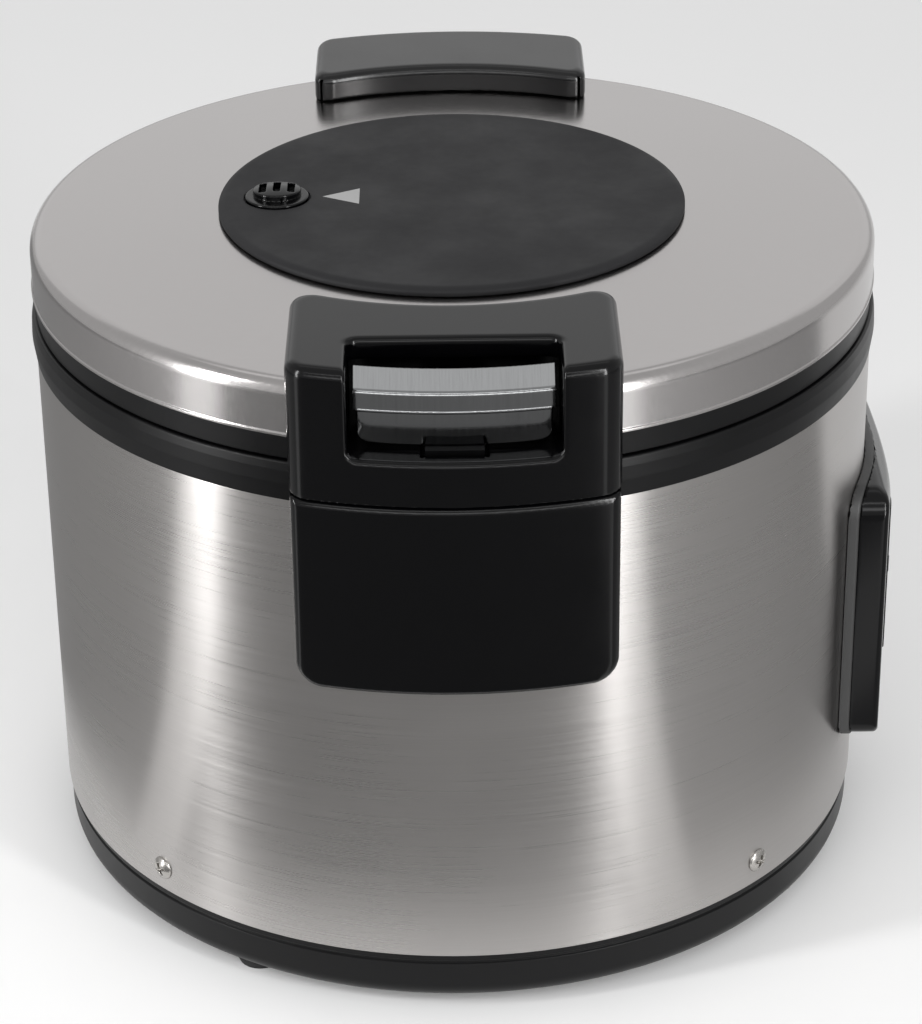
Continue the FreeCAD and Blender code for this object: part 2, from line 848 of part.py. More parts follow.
def lid_shell():
    """Pressed stainless lid skin: short wall, tight shoulder, faintly domed top."""
    edge = size.drum_radius
    wall = size.sheet_wall
    section = [
        (edge + 0.5, size.skin_bottom + 0.2),
        (edge + 0.5, size.skin_bottom + 1.2),
        (edge, size.skin_bottom + 1.7),
        (edge, size.skin_shoulder - 0.6),
        (size.disc_radius + 2, size.disc_bottom - 0.25),
        (60, size.disc_bottom),
        (60, size.disc_bottom - wall),
        (size.disc_radius + 2, size.disc_bottom - 0.25 - wall),
        (edge - wall, size.skin_shoulder - 0.6 - wall),
        (edge - wall, size.skin_bottom + 0.2),
    ]
    skin = turned(section, {3: 5, 8: 4})
    return finish("lid_shell", cut(skin, latch_notch(0, 270), vent_hole(13)))


def lid_ring():
    """Black ring that joins the lid skin to the inner pan."""
    edge = size.drum_radius - 0.9
    joint = size.lid_joint + 0.3
    spigot = size.drum_radius - size.sheet_wall - 0.25
    section = [
        (edge, joint),
        (edge, size.skin_bottom),
        (spigot, size.skin_bottom),
        (spigot, size.skin_bottom + 8),
        (spigot - 2.5, size.skin_bottom + 8),
        (spigot - 2.5, joint + 7.7),
        (160, joint + 7.7),
        (160, joint + 4),
        (171, joint + 4),
        (171, joint),
    ]
    return finish("lid_ring", cut(turned(section), latch_notch(0, joint + 7.9)))


def lid_inside():
    """Inner pan, foam filling, vent tube, detachable inner lid with its seal and knob."""
    joint = size.lid_joint + 0.3
    pan = cylinder(170, joint + 8, joint + 8.9)
    holes = [vent_hole(12.6), cylinder(3.2, 260, 300)]
    pan_top = size.skin_bottom + 9
    finish("lid_inner_pan", cut(pan, *holes))
    foam = cylinder(182, pan_top, size.skin_shoulder - 2.5)
    finish("lid_insulation", cut(foam, latch_notch(0.6, 260), vent_hole(12.9)))
    tube_low = joint + 6
    finish("vent_tube", cut(
        cylinder(12.3, tube_low, size.disc_bottom - 0.1, -size.vent_offset, 0), vent_hole(10.6)
    ))
    plate = cylinder(155, joint + 4.8, joint + 5.8)
    steam_holes = [
        cylinder(2, 260, 290, -size.vent_offset + 9 * column, 9 * row)
        for column in (-1, 0, 1)
        for row in (-1, 0, 1)
    ]
    finish("inner_lid", cut(plate, cylinder(4.2, 260, 300), *steam_holes))
    seal = turned([
        (150, size.pot_rim + 0.3),
        (159.4, size.pot_rim + 0.3),
        (159.4, joint + 7.4),
        (152, joint + 7.4),
        (152, joint + 5.95),
        (155.2, joint + 5.95),
        (155.2, joint + 4.65),
        (150, joint + 4.65),
    ])
    finish("lid_gasket", seal)
    knob = cylinder(12, joint - 6, joint + 4.5)
    knob = rounded(knob, 2.5, lambda edge: edge_stays_at(edge, joint.value - 6))
    stud = cylinder(3, joint - 2, joint + 14)
    nut = cylinder(7, joint + 9.1, joint + 13)
    finish("inner_lid_knob", cut(knob, cylinder(3.02, joint - 2.1, 300)))
    finish("inner_lid_stud", fuse(stud, nut))


def centre_disc():
    """Dark moulded disc on top of the lid, with a bevelled rim and the vent's seat."""
    low = size.disc_bottom + 0.1
    section = [
        (0, low),
        (size.disc_radius - 1.5, low),
        (size.disc_radius, low + 1.2),
        (size.disc_radius - 0.6, size.disc_top - 1.4),
        (size.disc_radius - 2.6, size.disc_top),
        (0, size.disc_top),
    ]
    seat = cylinder(size.vent_radius + 0.5, size.disc_top - 1.6, size.disc_top + 2, -size.vent_offset, 0)
    return finish("centre_disc", cut(turned(section), vent_hole(10.6), seat))


def vent_cap():
    """Pull-out steam vent: a slotted button on a hollow stem."""
    x = -size.vent_offset
    low = size.disc_top - 1.5
    top = size.vent_top
    head = cylinder(size.vent_radius, low, top, x, 0)
    head = rounded(head, 1.6, lambda edge: edge_stays_at(edge, top.value))
    stem = cylinder(10.2, size.disc_bottom - 14, low + 0.2, x, 0)
    hollow = cylinder(8.4, size.disc_bottom - 20, top - 2.2, x, 0)
    slots = [
        box(x + offset - 1.5, x + offset + 1.5, -5.5, 10.5, top - 4, top + 2)
        for offset in (-6.1, 0, 6.1)
    ]
    return finish("vent_cap", cut(fuse(head, stem), hollow, *slots))


# Latch on the lid: housing, lever, hook, pin, spring


def lid_envelope(clearance):
    """The closed lid and collar as one turned solid, for trimming what sits over them."""
    edge = size.drum_radius + 0.5 + clearance
    return turned([
        (0, 230),
        (size.drum_radius + 1.7 + clearance, 230),
        (size.drum_radius + 1.7 + clearance, size.lid_joint + clearance),
        (edge, size.lid_joint + clearance),
        (edge, size.skin_shoulder - 4),
        (size.drum_radius - 3, size.skin_shoulder + 0.9),
        (size.disc_radius + 2, size.disc_bottom + 0.1),
        (0, size.disc_bottom + 0.1),
    ])


def latch_housing():
    """Front lid moulding with the open recess for the fingers and the lever."""
    top = size.housing_top
    bottom = size.parting + 0.25
    block = arc_block(
        size.housing_radius, size.latch_rear_radius, size.housing_half_width, bottom, top, -1
    )
    block = rounded(block, 9, lambda edge: (
        edge_runs_along(edge, UP) and edge_middle(edge).y > -150
    ))
    block = rounded(block, 4, lambda edge: (
        edge_runs_along(edge, UP) and edge_middle(edge).y < -180
    ))
    block = rounded(block, 3.5, lambda edge: edge_stays_at(edge, top.value))
    outer = cut(block, lid_envelope(0.3))
    wall = size.plastic_wall
    liner = wide_box(
        NOTCH_HALF_WIDTH - 0.4, -(size.drum_radius + 5), -(NOTCH_DEPTH_RADIUS + 0.4),
        size.recess_floor - 2, size.disc_bottom + 2,
    )
    inside = NOTCH_HALF_WIDTH - 0.4 - wall
    cavity = wide_box(
        inside, -(size.drum_radius - 0.5), -(NOTCH_DEPTH_RADIUS + 0.4 + wall),
        size.recess_floor, size.disc_bottom + 1,
    )
    recess = wide_box(
        size.recess_half_width, -230, -size.recess_rear, size.recess_floor + 0.5, top + 5
    )
    recess = rounded(recess, 5, lambda edge: (
        edge_runs_along(edge, UP) and edge_middle(edge).y > -175
    ))
    recess = rounded(recess, 4, lambda edge: (
        edge_runs_along(edge, Vector(0, 1, 0)) and edge_middle(edge).z < 290
    ))
    axis_back = size.lever_axis_back
    axis_height = size.lever_axis_height
    hook_space = wide_box(13.5, -(size.housing_radius - wall), -(size.drum_radius + 0.5), 240, 279)
    strap_space = wide_box(13.5, -(axis_back + 2.5), -177.5, size.recess_floor - 6.5, 290)
    spring_room = box(
        13, 23, -(axis_back + 4.6), -(size.drum_radius + 0.5), axis_height - 4.6, axis_height + 4.6
    )
    pin_bore = cross_cylinder(2.05, 32, -axis_back, axis_height)
    whole = fuse(outer, liner)
    return finish("latch_housing", cut(
        whole, cavity, recess, hook_space, strap_space, spring_room, pin_bore
    ))


LEVER_RIDGE = 311.5
LEVER_TOP = 306.1
LEVER_BEND = 297.5
LEVER_LOW = 282.0
LEVER_REAR = 182.0
LEVER_FRONT = 195.0


def release_lever():
    """Chromed pressing: a sloped top flange, an upright face and an apron that leans back."""
    outer = LEVER_FRONT
    half = 41.0
    lower_half = 39.5
    bent = turned([
        (outer, LEVER_BEND),
        (outer, LEVER_TOP),
        (LEVER_REAR, LEVER_RIDGE),
        (LEVER_REAR, LEVER_RIDGE - 1.8),
        (outer - 2.4, LEVER_TOP - 0.8),
        (outer - 2.4, LEVER_BEND),
    ], {1: 1.4})
    shelf = common(bent, wide_box(half, -200, -150, LEVER_BEND, LEVER_RIDGE))
    apron = document.addObject("Part::Cone", "Apron")
    bind(apron, Radius1=outer - 2.4, Radius2=outer + 0.2, Height=LEVER_BEND - LEVER_LOW)
    move(apron, 0, 0, LEVER_LOW)
    inner = document.addObject("Part::Cone", "ApronInside")
    bind(inner, Radius1=outer - 4.2, Radius2=outer - 1.6, Height=LEVER_BEND - LEVER_LOW)
    move(inner, 0, 0, LEVER_LOW)
    low = wide_box(lower_half, -200, -150, LEVER_LOW, LEVER_BEND)
    low = rounded(low, 5, lambda edge: (
        edge_runs_along(edge, Vector(0, 1, 0)) and edge_middle(edge).z < LEVER_LOW + 1
    ))
    lower = common(cut(apron, inner), low)
    return finish("release_lever", fuse(shelf, lower))


def latch_hook():
    """Black steel hook under the lever, turning on the lever pin."""
    axis_back = size.lever_axis_back
    axis_height = size.lever_axis_height
    outer_face = -(axis_back + 0.8)
    inner_face = -(axis_back - 0.8)
    top = LEVER_LOW - 0.1
    strap = wide_box(12, outer_face, -(LEVER_FRONT - 6), top - 1.6, top)
    upright = wide_box(12, outer_face, inner_face, 243, top)
    nose = wide_box(10, inner_face - 0.2, -(size.drum_radius + 2.6), 243, 246)
    knuckle = cross_cylinder(4, 12, -axis_back, axis_height)
    bore = cross_cylinder(2.05, 30, -axis_back, axis_height)
    return finish("latch_hook", cut(fuse(strap, upright, nose, knuckle), bore))


def lever_pin_and_spring():
    """Pin through the housing, and the torsion coil beside the hook's knuckle."""
    axis_back = size.lever_axis_back
    axis_height = size.lever_axis_height
    finish("lever_pin", cross_cylinder(2.0, 30, -axis_back, axis_height))
    rings = []
    turns = 6
    wire = 0.6
    for turn in range(turns):
        ring = document.addObject("Part::Torus", "SpringTurn")
        bind(ring, Radius1=3.2, Radius2=wire)
        ring.Placement = Placement(Vector(), Rotation(Vector(0, 1, 0), 90))
        move(ring, 14.5 + turn * wire * 1.9, -axis_back, axis_height)
        rings.append(ring)
    finish("lever_spring", fuse(*rings))


# Rear of the lid: hinge arm and cover


def hinge_arm():
    """Folded steel arm from the lid top down to the knuckle on the hinge pin."""
    back = size.hinge_back
    height = size.hinge_height
    top = 309.0
    thickness = 3.0
    foot = wide_box(40, 158, 195.2, top - thickness, top)
    leg = wide_box(22, 192.3, 195.3, height, top - 0.1)
    knuckle = cross_cylinder(size.knuckle_radius, 22, back, height)
    bore = cross_cylinder(size.hinge_pin_radius + size.running_fit, 40, back, height)
    holes = [cylinder(2.1, 300, 320, x, y) for x in (-32, 32) for y in (164, 180)]
    finish("hinge_arm", cut(fuse(foot, leg, knuckle), bore, *holes))
    screw = pan_head_screw(3.8, 2.0, 2.0, 3.0)
    places = [(Vector(x, y, top), UP, x + y) for x in (-32, 32) for y in (164, 180)]
    screw_group("hinge_arm_screws", screw, places)


def rear_cover():
    """Moulded cover over the hinge arm, the twin of the latch housing's top."""
    top = size.housing_top
    bottom = size.lid_joint + 4
    outer = size.housing_radius - 2.5
    half = size.housing_half_width - 2
    block = arc_block(outer, size.cover_rear_radius, half, bottom, top, 1)
    block = rounded(block, 8, lambda edge: (
        edge_runs_along(edge, UP) and edge_middle(edge).y < 165
    ))
    block = rounded(block, 6, lambda edge: (
        edge_runs_along(edge, UP) and edge_middle(edge).y > 165
    ))
    block = rounded(block, 3.5, lambda edge: edge_stays_at(edge, top.value))
    wall = 2.6
    hollow = arc_block(outer - wall, size.cover_rear_radius + wall, half - wall, bottom - 5, top - wall, 1)
    return finish("rear_cover", cut(block, hollow, lid_envelope(0.3)))


def make_everything():
    outer_shell()
    base_pan()
    bottom_plate()
    rubber_feet()
    lower_fasteners()
    body_collar()
    pot_well()
    inner_pot()
    heater_plate()
    heater_posts()
    sensor()
    warmth()
    front_housing()
    catch_plate()
    hinge_bracket()
    hinge_housing()
    hinge_pin()
    control_box()
    control_panel()
    lamps()
    switch_parts()
    wiring()
    lid_shell()
    lid_ring()
    lid_inside()
    centre_disc()
    vent_cap()
    latch_housing()
    release_lever()
    latch_hook()
    lever_pin_and_spring()
    hinge_arm()
    rear_cover()


def check_and_write():
    """Stop on any failed object, then write one file for each named sub-part."""
    document.recompute()
    for item in document.Objects:
        if "Invalid" in item.State or "Error" in item.State:
            raise RuntimeError(f"{item.Name} ({item.Label}) failed: {item.State}")
    os.makedirs("parts", exist_ok=True)
    for item in nodes:
        shape = item.Shape
        if shape.isNull() or not shape.isValid() or not shape.Solids:
            raise RuntimeError(f"{item.Label} has no sound shape")
        shape.exportStep(f"parts/{item.Label}.step")
        print(f"{item.Label}: {len(shape.Solids)} solid(s), {shape.Volume / 1000:.1f} cm3")


make_everything()
check_and_write()
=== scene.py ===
import json
import math

import bmesh
import bpy
import numpy as np
import openvdb
from mathutils import Matrix, Vector


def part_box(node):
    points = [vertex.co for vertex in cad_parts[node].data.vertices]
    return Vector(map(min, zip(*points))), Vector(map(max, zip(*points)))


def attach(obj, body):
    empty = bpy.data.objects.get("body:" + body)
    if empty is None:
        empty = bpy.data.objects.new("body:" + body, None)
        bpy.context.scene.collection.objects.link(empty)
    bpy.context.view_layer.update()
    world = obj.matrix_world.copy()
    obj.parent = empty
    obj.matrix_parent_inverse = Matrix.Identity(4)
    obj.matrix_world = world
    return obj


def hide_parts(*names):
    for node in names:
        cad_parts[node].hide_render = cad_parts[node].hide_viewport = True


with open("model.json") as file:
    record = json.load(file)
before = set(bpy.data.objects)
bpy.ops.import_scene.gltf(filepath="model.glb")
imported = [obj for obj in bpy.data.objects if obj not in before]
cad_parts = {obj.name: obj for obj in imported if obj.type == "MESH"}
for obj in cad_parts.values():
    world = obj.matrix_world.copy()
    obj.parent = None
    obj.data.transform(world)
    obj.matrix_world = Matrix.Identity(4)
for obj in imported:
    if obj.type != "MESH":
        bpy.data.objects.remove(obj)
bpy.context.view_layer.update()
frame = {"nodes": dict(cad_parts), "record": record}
record = frame["record"]


# Rubber feet: four moulded EPDM pads under the rim of the base, each held by one screw
# through a sunk hole. The rubber is dull, with a fine sparked texture from its mould.

MM = 0.001


def linear(code):
    """An sRGB hex colour as the linear red, green, blue and alpha that a shader takes."""
    parts = [int(code[start:start + 2], 16) / 255 for start in (1, 3, 5)]
    curve = [part / 12.92 if part <= 0.04045 else ((part + 0.055) / 1.055) ** 2.4 for part in parts]
    return (*curve, 1.0)


def add(tree, kind, settings=None, links=None):
    """One shader node, with its properties or socket values set and its sockets fed."""
    made = tree.nodes.new("ShaderNode" + kind)
    for name, value in (settings or {}).items():
        if isinstance(name, int) or name in made.inputs:
            made.inputs[name].default_value = value
        else:
            setattr(made, name, value)
    for name, source in (links or {}).items():
        tree.links.new(source, made.inputs[name])
    return made


def new_material(name):
    """An empty material and its node tree."""
    material = bpy.data.materials.new(name)
    material.use_nodes = True
    material.node_tree.nodes.clear()
    return material, material.node_tree


def textured_plastic(name, light, dark, roughness, grain_mm, depth_mm, coat=0.0, shine=0.5):
    """A moulded plastic or rubber: sparked grain, faint mottling and handling marks in the gloss."""
    material, tree = new_material(name)
    place = add(tree, "TexCoord")
    grain = add(
        tree, "TexNoise", {"Scale": 1 / (grain_mm * MM), "Detail": 3.0, "Roughness": 0.6},
        {"Vector": place.outputs["Object"]},
    )
    cloud = add(
        tree, "TexNoise", {"Scale": 22.0, "Detail": 4.0, "Roughness": 0.65},
        {"Vector": place.outputs["Object"]},
    )
    colour = add(
        tree, "Mix", {"data_type": "RGBA", 6: linear(dark), 7: linear(light)},
        {0: cloud.outputs["Fac"]},
    )
    gloss = add(
        tree, "MapRange",
        {"From Min": 0.3, "From Max": 0.7, "To Min": roughness * 0.85, "To Max": roughness * 1.2},
        {"Value": cloud.outputs["Fac"]},
    )
    bump = add(
        tree, "Bump", {"Strength": 1.0, "Distance": depth_mm * MM}, {"Height": grain.outputs["Fac"]}
    )
    surface = add(
        tree, "BsdfPrincipled",
        {"IOR": 1.5, "Specular IOR Level": shine, "Coat Weight": coat, "Coat Roughness": 0.06},
        {
            "Base Color": colour.outputs[2],
            "Roughness": gloss.outputs["Result"],
            "Normal": bump.outputs["Normal"],
        },
    )
    add(tree, "OutputMaterial", {}, {"Surface": surface.outputs["BSDF"]})
    return material


# EPDM rubber from a sparked mould: nearly black, dull, its grain catches little light
moulded_rubber = textured_plastic("epdm_rubber_moulded", "#1d1d1e", "#111112", 0.78, 0.5, 0.03)


def arc_points(corners):
    """Corners (radius, height, rounding) as one closed outline, each rounding a true arc."""
    outline = []
    count = len(corners)
    for index, corner in enumerate(corners):
        here = Vector(corner[:2])
        rounding = corner[2] if len(corner) > 2 else 0.0
        before = Vector(corners[index - 1][:2]) - here
        after = Vector(corners[(index + 1) % count][:2]) - here
        if rounding == 0.0:
            outline.append(here)
            continue
        before.normalize()
        after.normalize()
        opening = before.angle(after)
        reach = rounding / math.tan(opening / 2)
        centre = here + (before + after).normalized() * (rounding / math.sin(opening / 2))
        start = here + before * reach - centre
        sweep = math.pi - opening
        turn = 1 if before.x * after.y - before.y * after.x < 0 else -1
        steps = max(3, round(math.degrees(sweep) / 11))
        for step in range(steps + 1):
            spin = Matrix.Rotation(turn * sweep * step / steps, 2)
            outline.append(centre + spin @ start)
    return outline


def mesh_object(name, points, faces, sharp_degrees=35):
    """A smooth-shaded mesh object with its sharp edges marked and its normals facing out."""
    mesh = bpy.data.meshes.new(name)
    mesh.from_pydata(points, [], faces)
    work = bmesh.new()
    work.from_mesh(mesh)
    bmesh.ops.recalc_face_normals(work, faces=work.faces)
    work.to_mesh(mesh)
    work.free()
    mesh.shade_smooth()
    mesh.set_sharp_from_angle(angle=math.radians(sharp_degrees))
    made = bpy.data.objects.new(name, mesh)
    bpy.context.scene.collection.objects.link(made)
    return made


def turned(name, corners, segments=288, centre=(0.0, 0.0)):
    """A ring or dish turned about a vertical axis from its section, in millimetres."""
    outline = arc_points(corners)
    count = len(outline)
    points = []
    for turn in range(segments):
        angle = 2 * math.pi * turn / segments
        for spot in outline:
            x = centre[0] + spot.x * math.cos(angle)
            y = centre[1] + spot.x * math.sin(angle)
            points.append((x * MM, y * MM, spot.y * MM))
    faces = []
    for turn in range(segments):
        here = turn * count
        there = (turn + 1) % segments * count
        for index in range(count):
            following = (index + 1) % count
            faces.append((here + index, here + following, there + following, there + index))
    return mesh_object(name, points, faces)


def settle(made):
    """Applies the modifiers of a piece to its mesh."""
    graph = bpy.context.evaluated_depsgraph_get()
    mesh = bpy.data.meshes.new_from_object(made.evaluated_get(graph))
    made.modifiers.clear()
    made.data = mesh
    return made


def even_normals(made):
    """Keeps large faces flat to the eye beside small roundings."""
    weigh = made.modifiers.new("EvenNormals", "WEIGHTED_NORMAL")
    weigh.keep_sharp = True
    return settle(made)


def fit(made, material, body, slot, *nodes):
    """Gives a finished piece its material, the body it moves with and the nodes it stands for."""
    made.data.materials.clear()
    made.data.materials.append(material)
    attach(made, body)
    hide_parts(*nodes)
    return made


def joined(name, parts):
    """Like pieces of one group as a single object of separate solids."""
    mesh = bpy.data.meshes.new(name)
    work = bmesh.new()
    for part in parts:
        work.from_mesh(part.data)
        bpy.data.objects.remove(part)
    work.to_mesh(mesh)
    work.free()
    made = bpy.data.objects.new(name, mesh)
    bpy.context.scene.collection.objects.link(made)
    return made


FOOT_CIRCLE = 172.0
FOOT_AZIMUTHS = (58, 148, 238, 328)


def on_circle(radius, azimuth):
    """A point on a level circle, in millimetres."""
    angle = math.radians(azimuth)
    return radius * math.cos(angle), radius * math.sin(angle)


feet = [
    even_normals(turned(
        "foot",
        [
            (4.4, 0.0, 0.4), (9.5, 0.0, 1.0), (10.9, 3.4, 0.6), (10.6, 4.9),
            (2.2, 4.9), (2.2, 3.0), (4.4, 3.0),
        ],
        segments=72,
        centre=on_circle(FOOT_CIRCLE, azimuth),
    ))
    for azimuth in FOOT_AZIMUTHS
]
fit(joined("rubber_feet_moulded", feet), moulded_rubber, "body", "rubber", "rubber_feet")


# Base: a black polypropylene tray moulding with a rounded lower edge. Its upstand goes up
# inside the drum wall and takes the four wall screws.

# Polypropylene from a polished mould: black, half gloss, with faint flow marks
black_polypropylene = textured_plastic(
    "polypropylene_black_moulded", "#060607", "#030304", 0.36, 0.7, 0.006, 0.0, 0.25
)
base_low, base_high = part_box("base_pan")
drum_low, drum_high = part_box("outer_shell")
DRUM_RADIUS = drum_high[0] / MM
DRUM_BOTTOM = drum_low[2] / MM
DRUM_TOP = drum_high[2] / MM
BASE_RADIUS = base_high[0] / MM
BASE_BOTTOM = base_low[2] / MM
UPSTAND_RADIUS = DRUM_RADIUS - 1.4
UPSTAND_TOP = base_high[2] / MM
base_ring = even_normals(turned("base_moulding", [
    (150.0, BASE_BOTTOM, 0.5),
    (BASE_RADIUS, BASE_BOTTOM, 9.0),
    (BASE_RADIUS, DRUM_BOTTOM - 5.2, 0.4),
    (BASE_RADIUS - 0.9, DRUM_BOTTOM - 4.6, 0.3),
    (BASE_RADIUS - 0.9, DRUM_BOTTOM - 3.8, 0.3),
    (BASE_RADIUS, DRUM_BOTTOM - 3.2, 0.4),
    (BASE_RADIUS, DRUM_BOTTOM - 0.4, 0.5),
    (UPSTAND_RADIUS, DRUM_BOTTOM - 0.4),
    (UPSTAND_RADIUS, UPSTAND_TOP),
    (UPSTAND_RADIUS - 3.0, UPSTAND_TOP),
    (UPSTAND_RADIUS - 3.0, BASE_BOTTOM + 3.0, 5.0),
    (150.0, BASE_BOTTOM + 3.0),
]))
fit(base_ring, black_polypropylene, "body", "black_satin", "base_pan")


# Drum wall: one sheet of stainless steel, rolled, butt welded at the back and belt polished
# round its length, then dropped over the base and held by four screws.


def polished_steel(name, light, dark, roughness, anisotropy, stretch):
    """Stainless sheet with a belt-polished grain; stretch is the noise scale on each axis."""
    material, tree = new_material(name)
    place = add(tree, "TexCoord")
    lengthen = add(tree, "Mapping", {"Scale": stretch}, {"Vector": place.outputs["Object"]})
    grain = add(
        tree, "TexNoise", {"Scale": 1.0, "Detail": 5.0, "Roughness": 0.7},
        {"Vector": lengthen.outputs["Vector"]},
    )
    smear = add(
        tree, "TexNoise", {"Scale": 9.0, "Detail": 3.0, "Roughness": 0.55},
        {"Vector": place.outputs["Object"]},
    )
    colour = add(
        tree, "Mix", {"data_type": "RGBA", 6: linear(dark), 7: linear(light)},
        {0: grain.outputs["Fac"]},
    )
    grain_gloss = add(
        tree, "MapRange",
        {"From Min": 0.3, "From Max": 0.7, "To Min": roughness - 0.03, "To Max": roughness + 0.03},
        {"Value": grain.outputs["Fac"]},
    )
    smear_gloss = add(
        tree, "MapRange",
        {"From Min": 0.35, "From Max": 0.65, "To Min": -0.015, "To Max": 0.02},
        {"Value": smear.outputs["Fac"]},
    )
    gloss = add(
        tree, "Math", {"operation": "ADD"},
        {0: grain_gloss.outputs["Result"], 1: smear_gloss.outputs["Result"]},
    )
    bump = add(
        tree, "Bump", {"Strength": 0.35, "Distance": 0.00002}, {"Height": grain.outputs["Fac"]}
    )
    tangent = add(tree, "Tangent", {"direction_type": "RADIAL", "axis": "Z"})
    surface = add(
        tree, "BsdfPrincipled",
        {"Metallic": 1.0, "Anisotropic": anisotropy, "Anisotropic Rotation": 0.25},
        {
            "Base Color": colour.outputs[2],
            "Roughness": gloss.outputs[0],
            "Normal": bump.outputs["Normal"],
            "Tangent": tangent.outputs["Tangent"],
        },
    )
    add(tree, "OutputMaterial", {}, {"Surface": surface.outputs["BSDF"]})
    return material


# 0.6 mm stainless, belt polished along the sheet: the grain runs level round the drum, so
# a lamp is drawn out into an upright band. The grain is drawn about 0.8 mm wide to show.
drum_steel = polished_steel(
    "stainless_belt_polished", "#bfbcba", "#b3b0ae", 0.29, 0.88, (5.0, 5.0, 1250.0)
)
drum_wall = even_normals(turned("drum_wall", [
    (DRUM_RADIUS - 1.0, DRUM_BOTTOM),
    (DRUM_RADIUS, DRUM_BOTTOM, 0.45),
    (DRUM_RADIUS, DRUM_TOP, 0.3),
    (DRUM_RADIUS - 1.0, DRUM_TOP),
], segments=360))
fit(drum_wall, drum_steel, "body", "satin_steel", "outer_shell")


# Wall screws: four stainless pan-head screws with a cross recess, driven level through the
# drum wall into the base.


def between(value, low, high):
    """Distance to a slab from low to high: negative inside."""
    return np.maximum(low - value, value - high)


def meet(first, second, rounding=0.0):
    """What two solids share, their common edge rounded."""
    hard = np.maximum(first, second)
    if rounding == 0.0:
        return hard
    corner = np.hypot(np.maximum(first + rounding, 0), np.maximum(second + rounding, 0))
    return np.minimum(hard, -rounding) + corner


def join(first, second, rounding=0.0):
    """Two solids in one, with a fillet where they meet."""
    return -meet(-first, -second, rounding)


def carve(solid, tool, rounding=0.0):
    """A solid with a tool taken out, the edge rounded."""
    return meet(solid, -tool, rounding)


SURFACE_PASSES = 3


def moulded(name, distance, low, high, step, sharp_degrees=50):
    """A solid from its distance function in millimetres, meshed on a grid of that step."""
    low = np.array(low, float) - 3 * step
    counts = np.ceil((np.array(high, float) + 3 * step - low) / step).astype(int)
    axes = [low[axis] + step * np.arange(counts[axis]) for axis in range(3)]
    field = distance(*np.meshgrid(*axes, indexing="ij"))
    grid = openvdb.FloatGrid(float(4 * step))
    grid.copyFromArray(np.clip(field, -4 * step, 4 * step).astype(np.float32))
    points, quads = grid.convertToQuads()
    points = low + step * points.astype(float)
    nudge = step * 0.1
    for _ in range(SURFACE_PASSES):
        slope = []
        for axis in range(3):
            shift = np.zeros(3)
            shift[axis] = nudge
            ahead = distance(*(points + shift).T)
            behind = distance(*(points - shift).T)
            slope.append((ahead - behind) / (2 * nudge))
        slope = np.stack(slope, 1)
        steepness = np.maximum((slope ** 2).sum(1), 0.25)
        away = distance(*points.T)
        move = -slope * (away / steepness)[:, None]
        points = points + np.clip(move, -step * 0.6, step * 0.6)
    return mesh_object(name, (points * MM).tolist(), quads.tolist(), sharp_degrees)


SCREW_HEAD_RADIUS = 5.6
SCREW_DOME_RADIUS = 9.1
SCREW_DOME_DROP = 6.6


def pan_head(x, y, z):
    """A pan head, facing up, with a cross recess."""
    radial = np.hypot(x, y)
    dome = np.sqrt(radial ** 2 + (z + SCREW_DOME_DROP) ** 2) - SCREW_DOME_RADIUS
    head = meet(meet(radial - SCREW_HEAD_RADIUS, dome, 0.7), -z, 0.0)
    taper = 0.5 * (1.9 - z)
    arm_one = np.maximum(np.abs(x) - 0.75, np.abs(y) - 3.1 + taper)
    arm_two = np.maximum(np.abs(y) - 0.75, np.abs(x) - 3.1 + taper)
    recess = np.maximum(np.minimum(arm_one, arm_two), 0.7 - z)
    return carve(head, recess, 0.15)


def placed_copies(name, pattern, matrices):
    """One object holding the pattern's mesh at each of these places."""
    work = bmesh.new()
    for matrix in matrices:
        start = len(work.verts)
        work.from_mesh(pattern.data)
        work.verts.ensure_lookup_table()
        bmesh.ops.transform(work, matrix=matrix, verts=work.verts[start:])
    mesh = bpy.data.meshes.new(name)
    work.to_mesh(mesh)
    work.free()
    made = bpy.data.objects.new(name, mesh)
    bpy.context.scene.collection.objects.link(made)
    return made


def facing(direction, spin, place):
    """The place of a screw head that faces along a direction, turned by spin degrees."""
    turn = Vector(direction).to_track_quat("Z", "Y").to_matrix().to_4x4()
    return Matrix.Translation(Vector(place) * MM) @ turn @ Matrix.Rotation(math.radians(spin), 4, "Z")


# Cold-headed stainless, tumbled bright: small heads with soft edges and a dark recess
tumbled_steel = polished_steel(
    "stainless_screw_tumbled", "#c9c6c2", "#a8a5a1", 0.24, 0.0, (900.0, 900.0, 900.0)
)
WALL_SCREW_RISE = 11.5
screw_pattern = moulded("screw_pattern", pan_head, (-5.8, -5.8, 0), (5.8, 5.8, 2.6), 0.22, 40)
wall_places = []
for azimuth, spin in ((45, 10), (135, 50), (225, 25), (315, 70)):
    x, y = on_circle(1.0, azimuth)
    spot = (DRUM_RADIUS * x, DRUM_RADIUS * y, DRUM_BOTTOM + WALL_SCREW_RISE)
    wall_places.append(facing((x, y, 0), spin, spot))
wall_screws = placed_copies("wall_screw_heads", screw_pattern, wall_places)
bpy.data.objects.remove(screw_pattern)
fit(wall_screws, tumbled_steel, "body", "screw_steel", "shell_screws")


# Collar: a black polypropylene ring moulding that closes the drum, bulged a little past the
# steel, with a level flange that the pot's rim and the lid come down on.

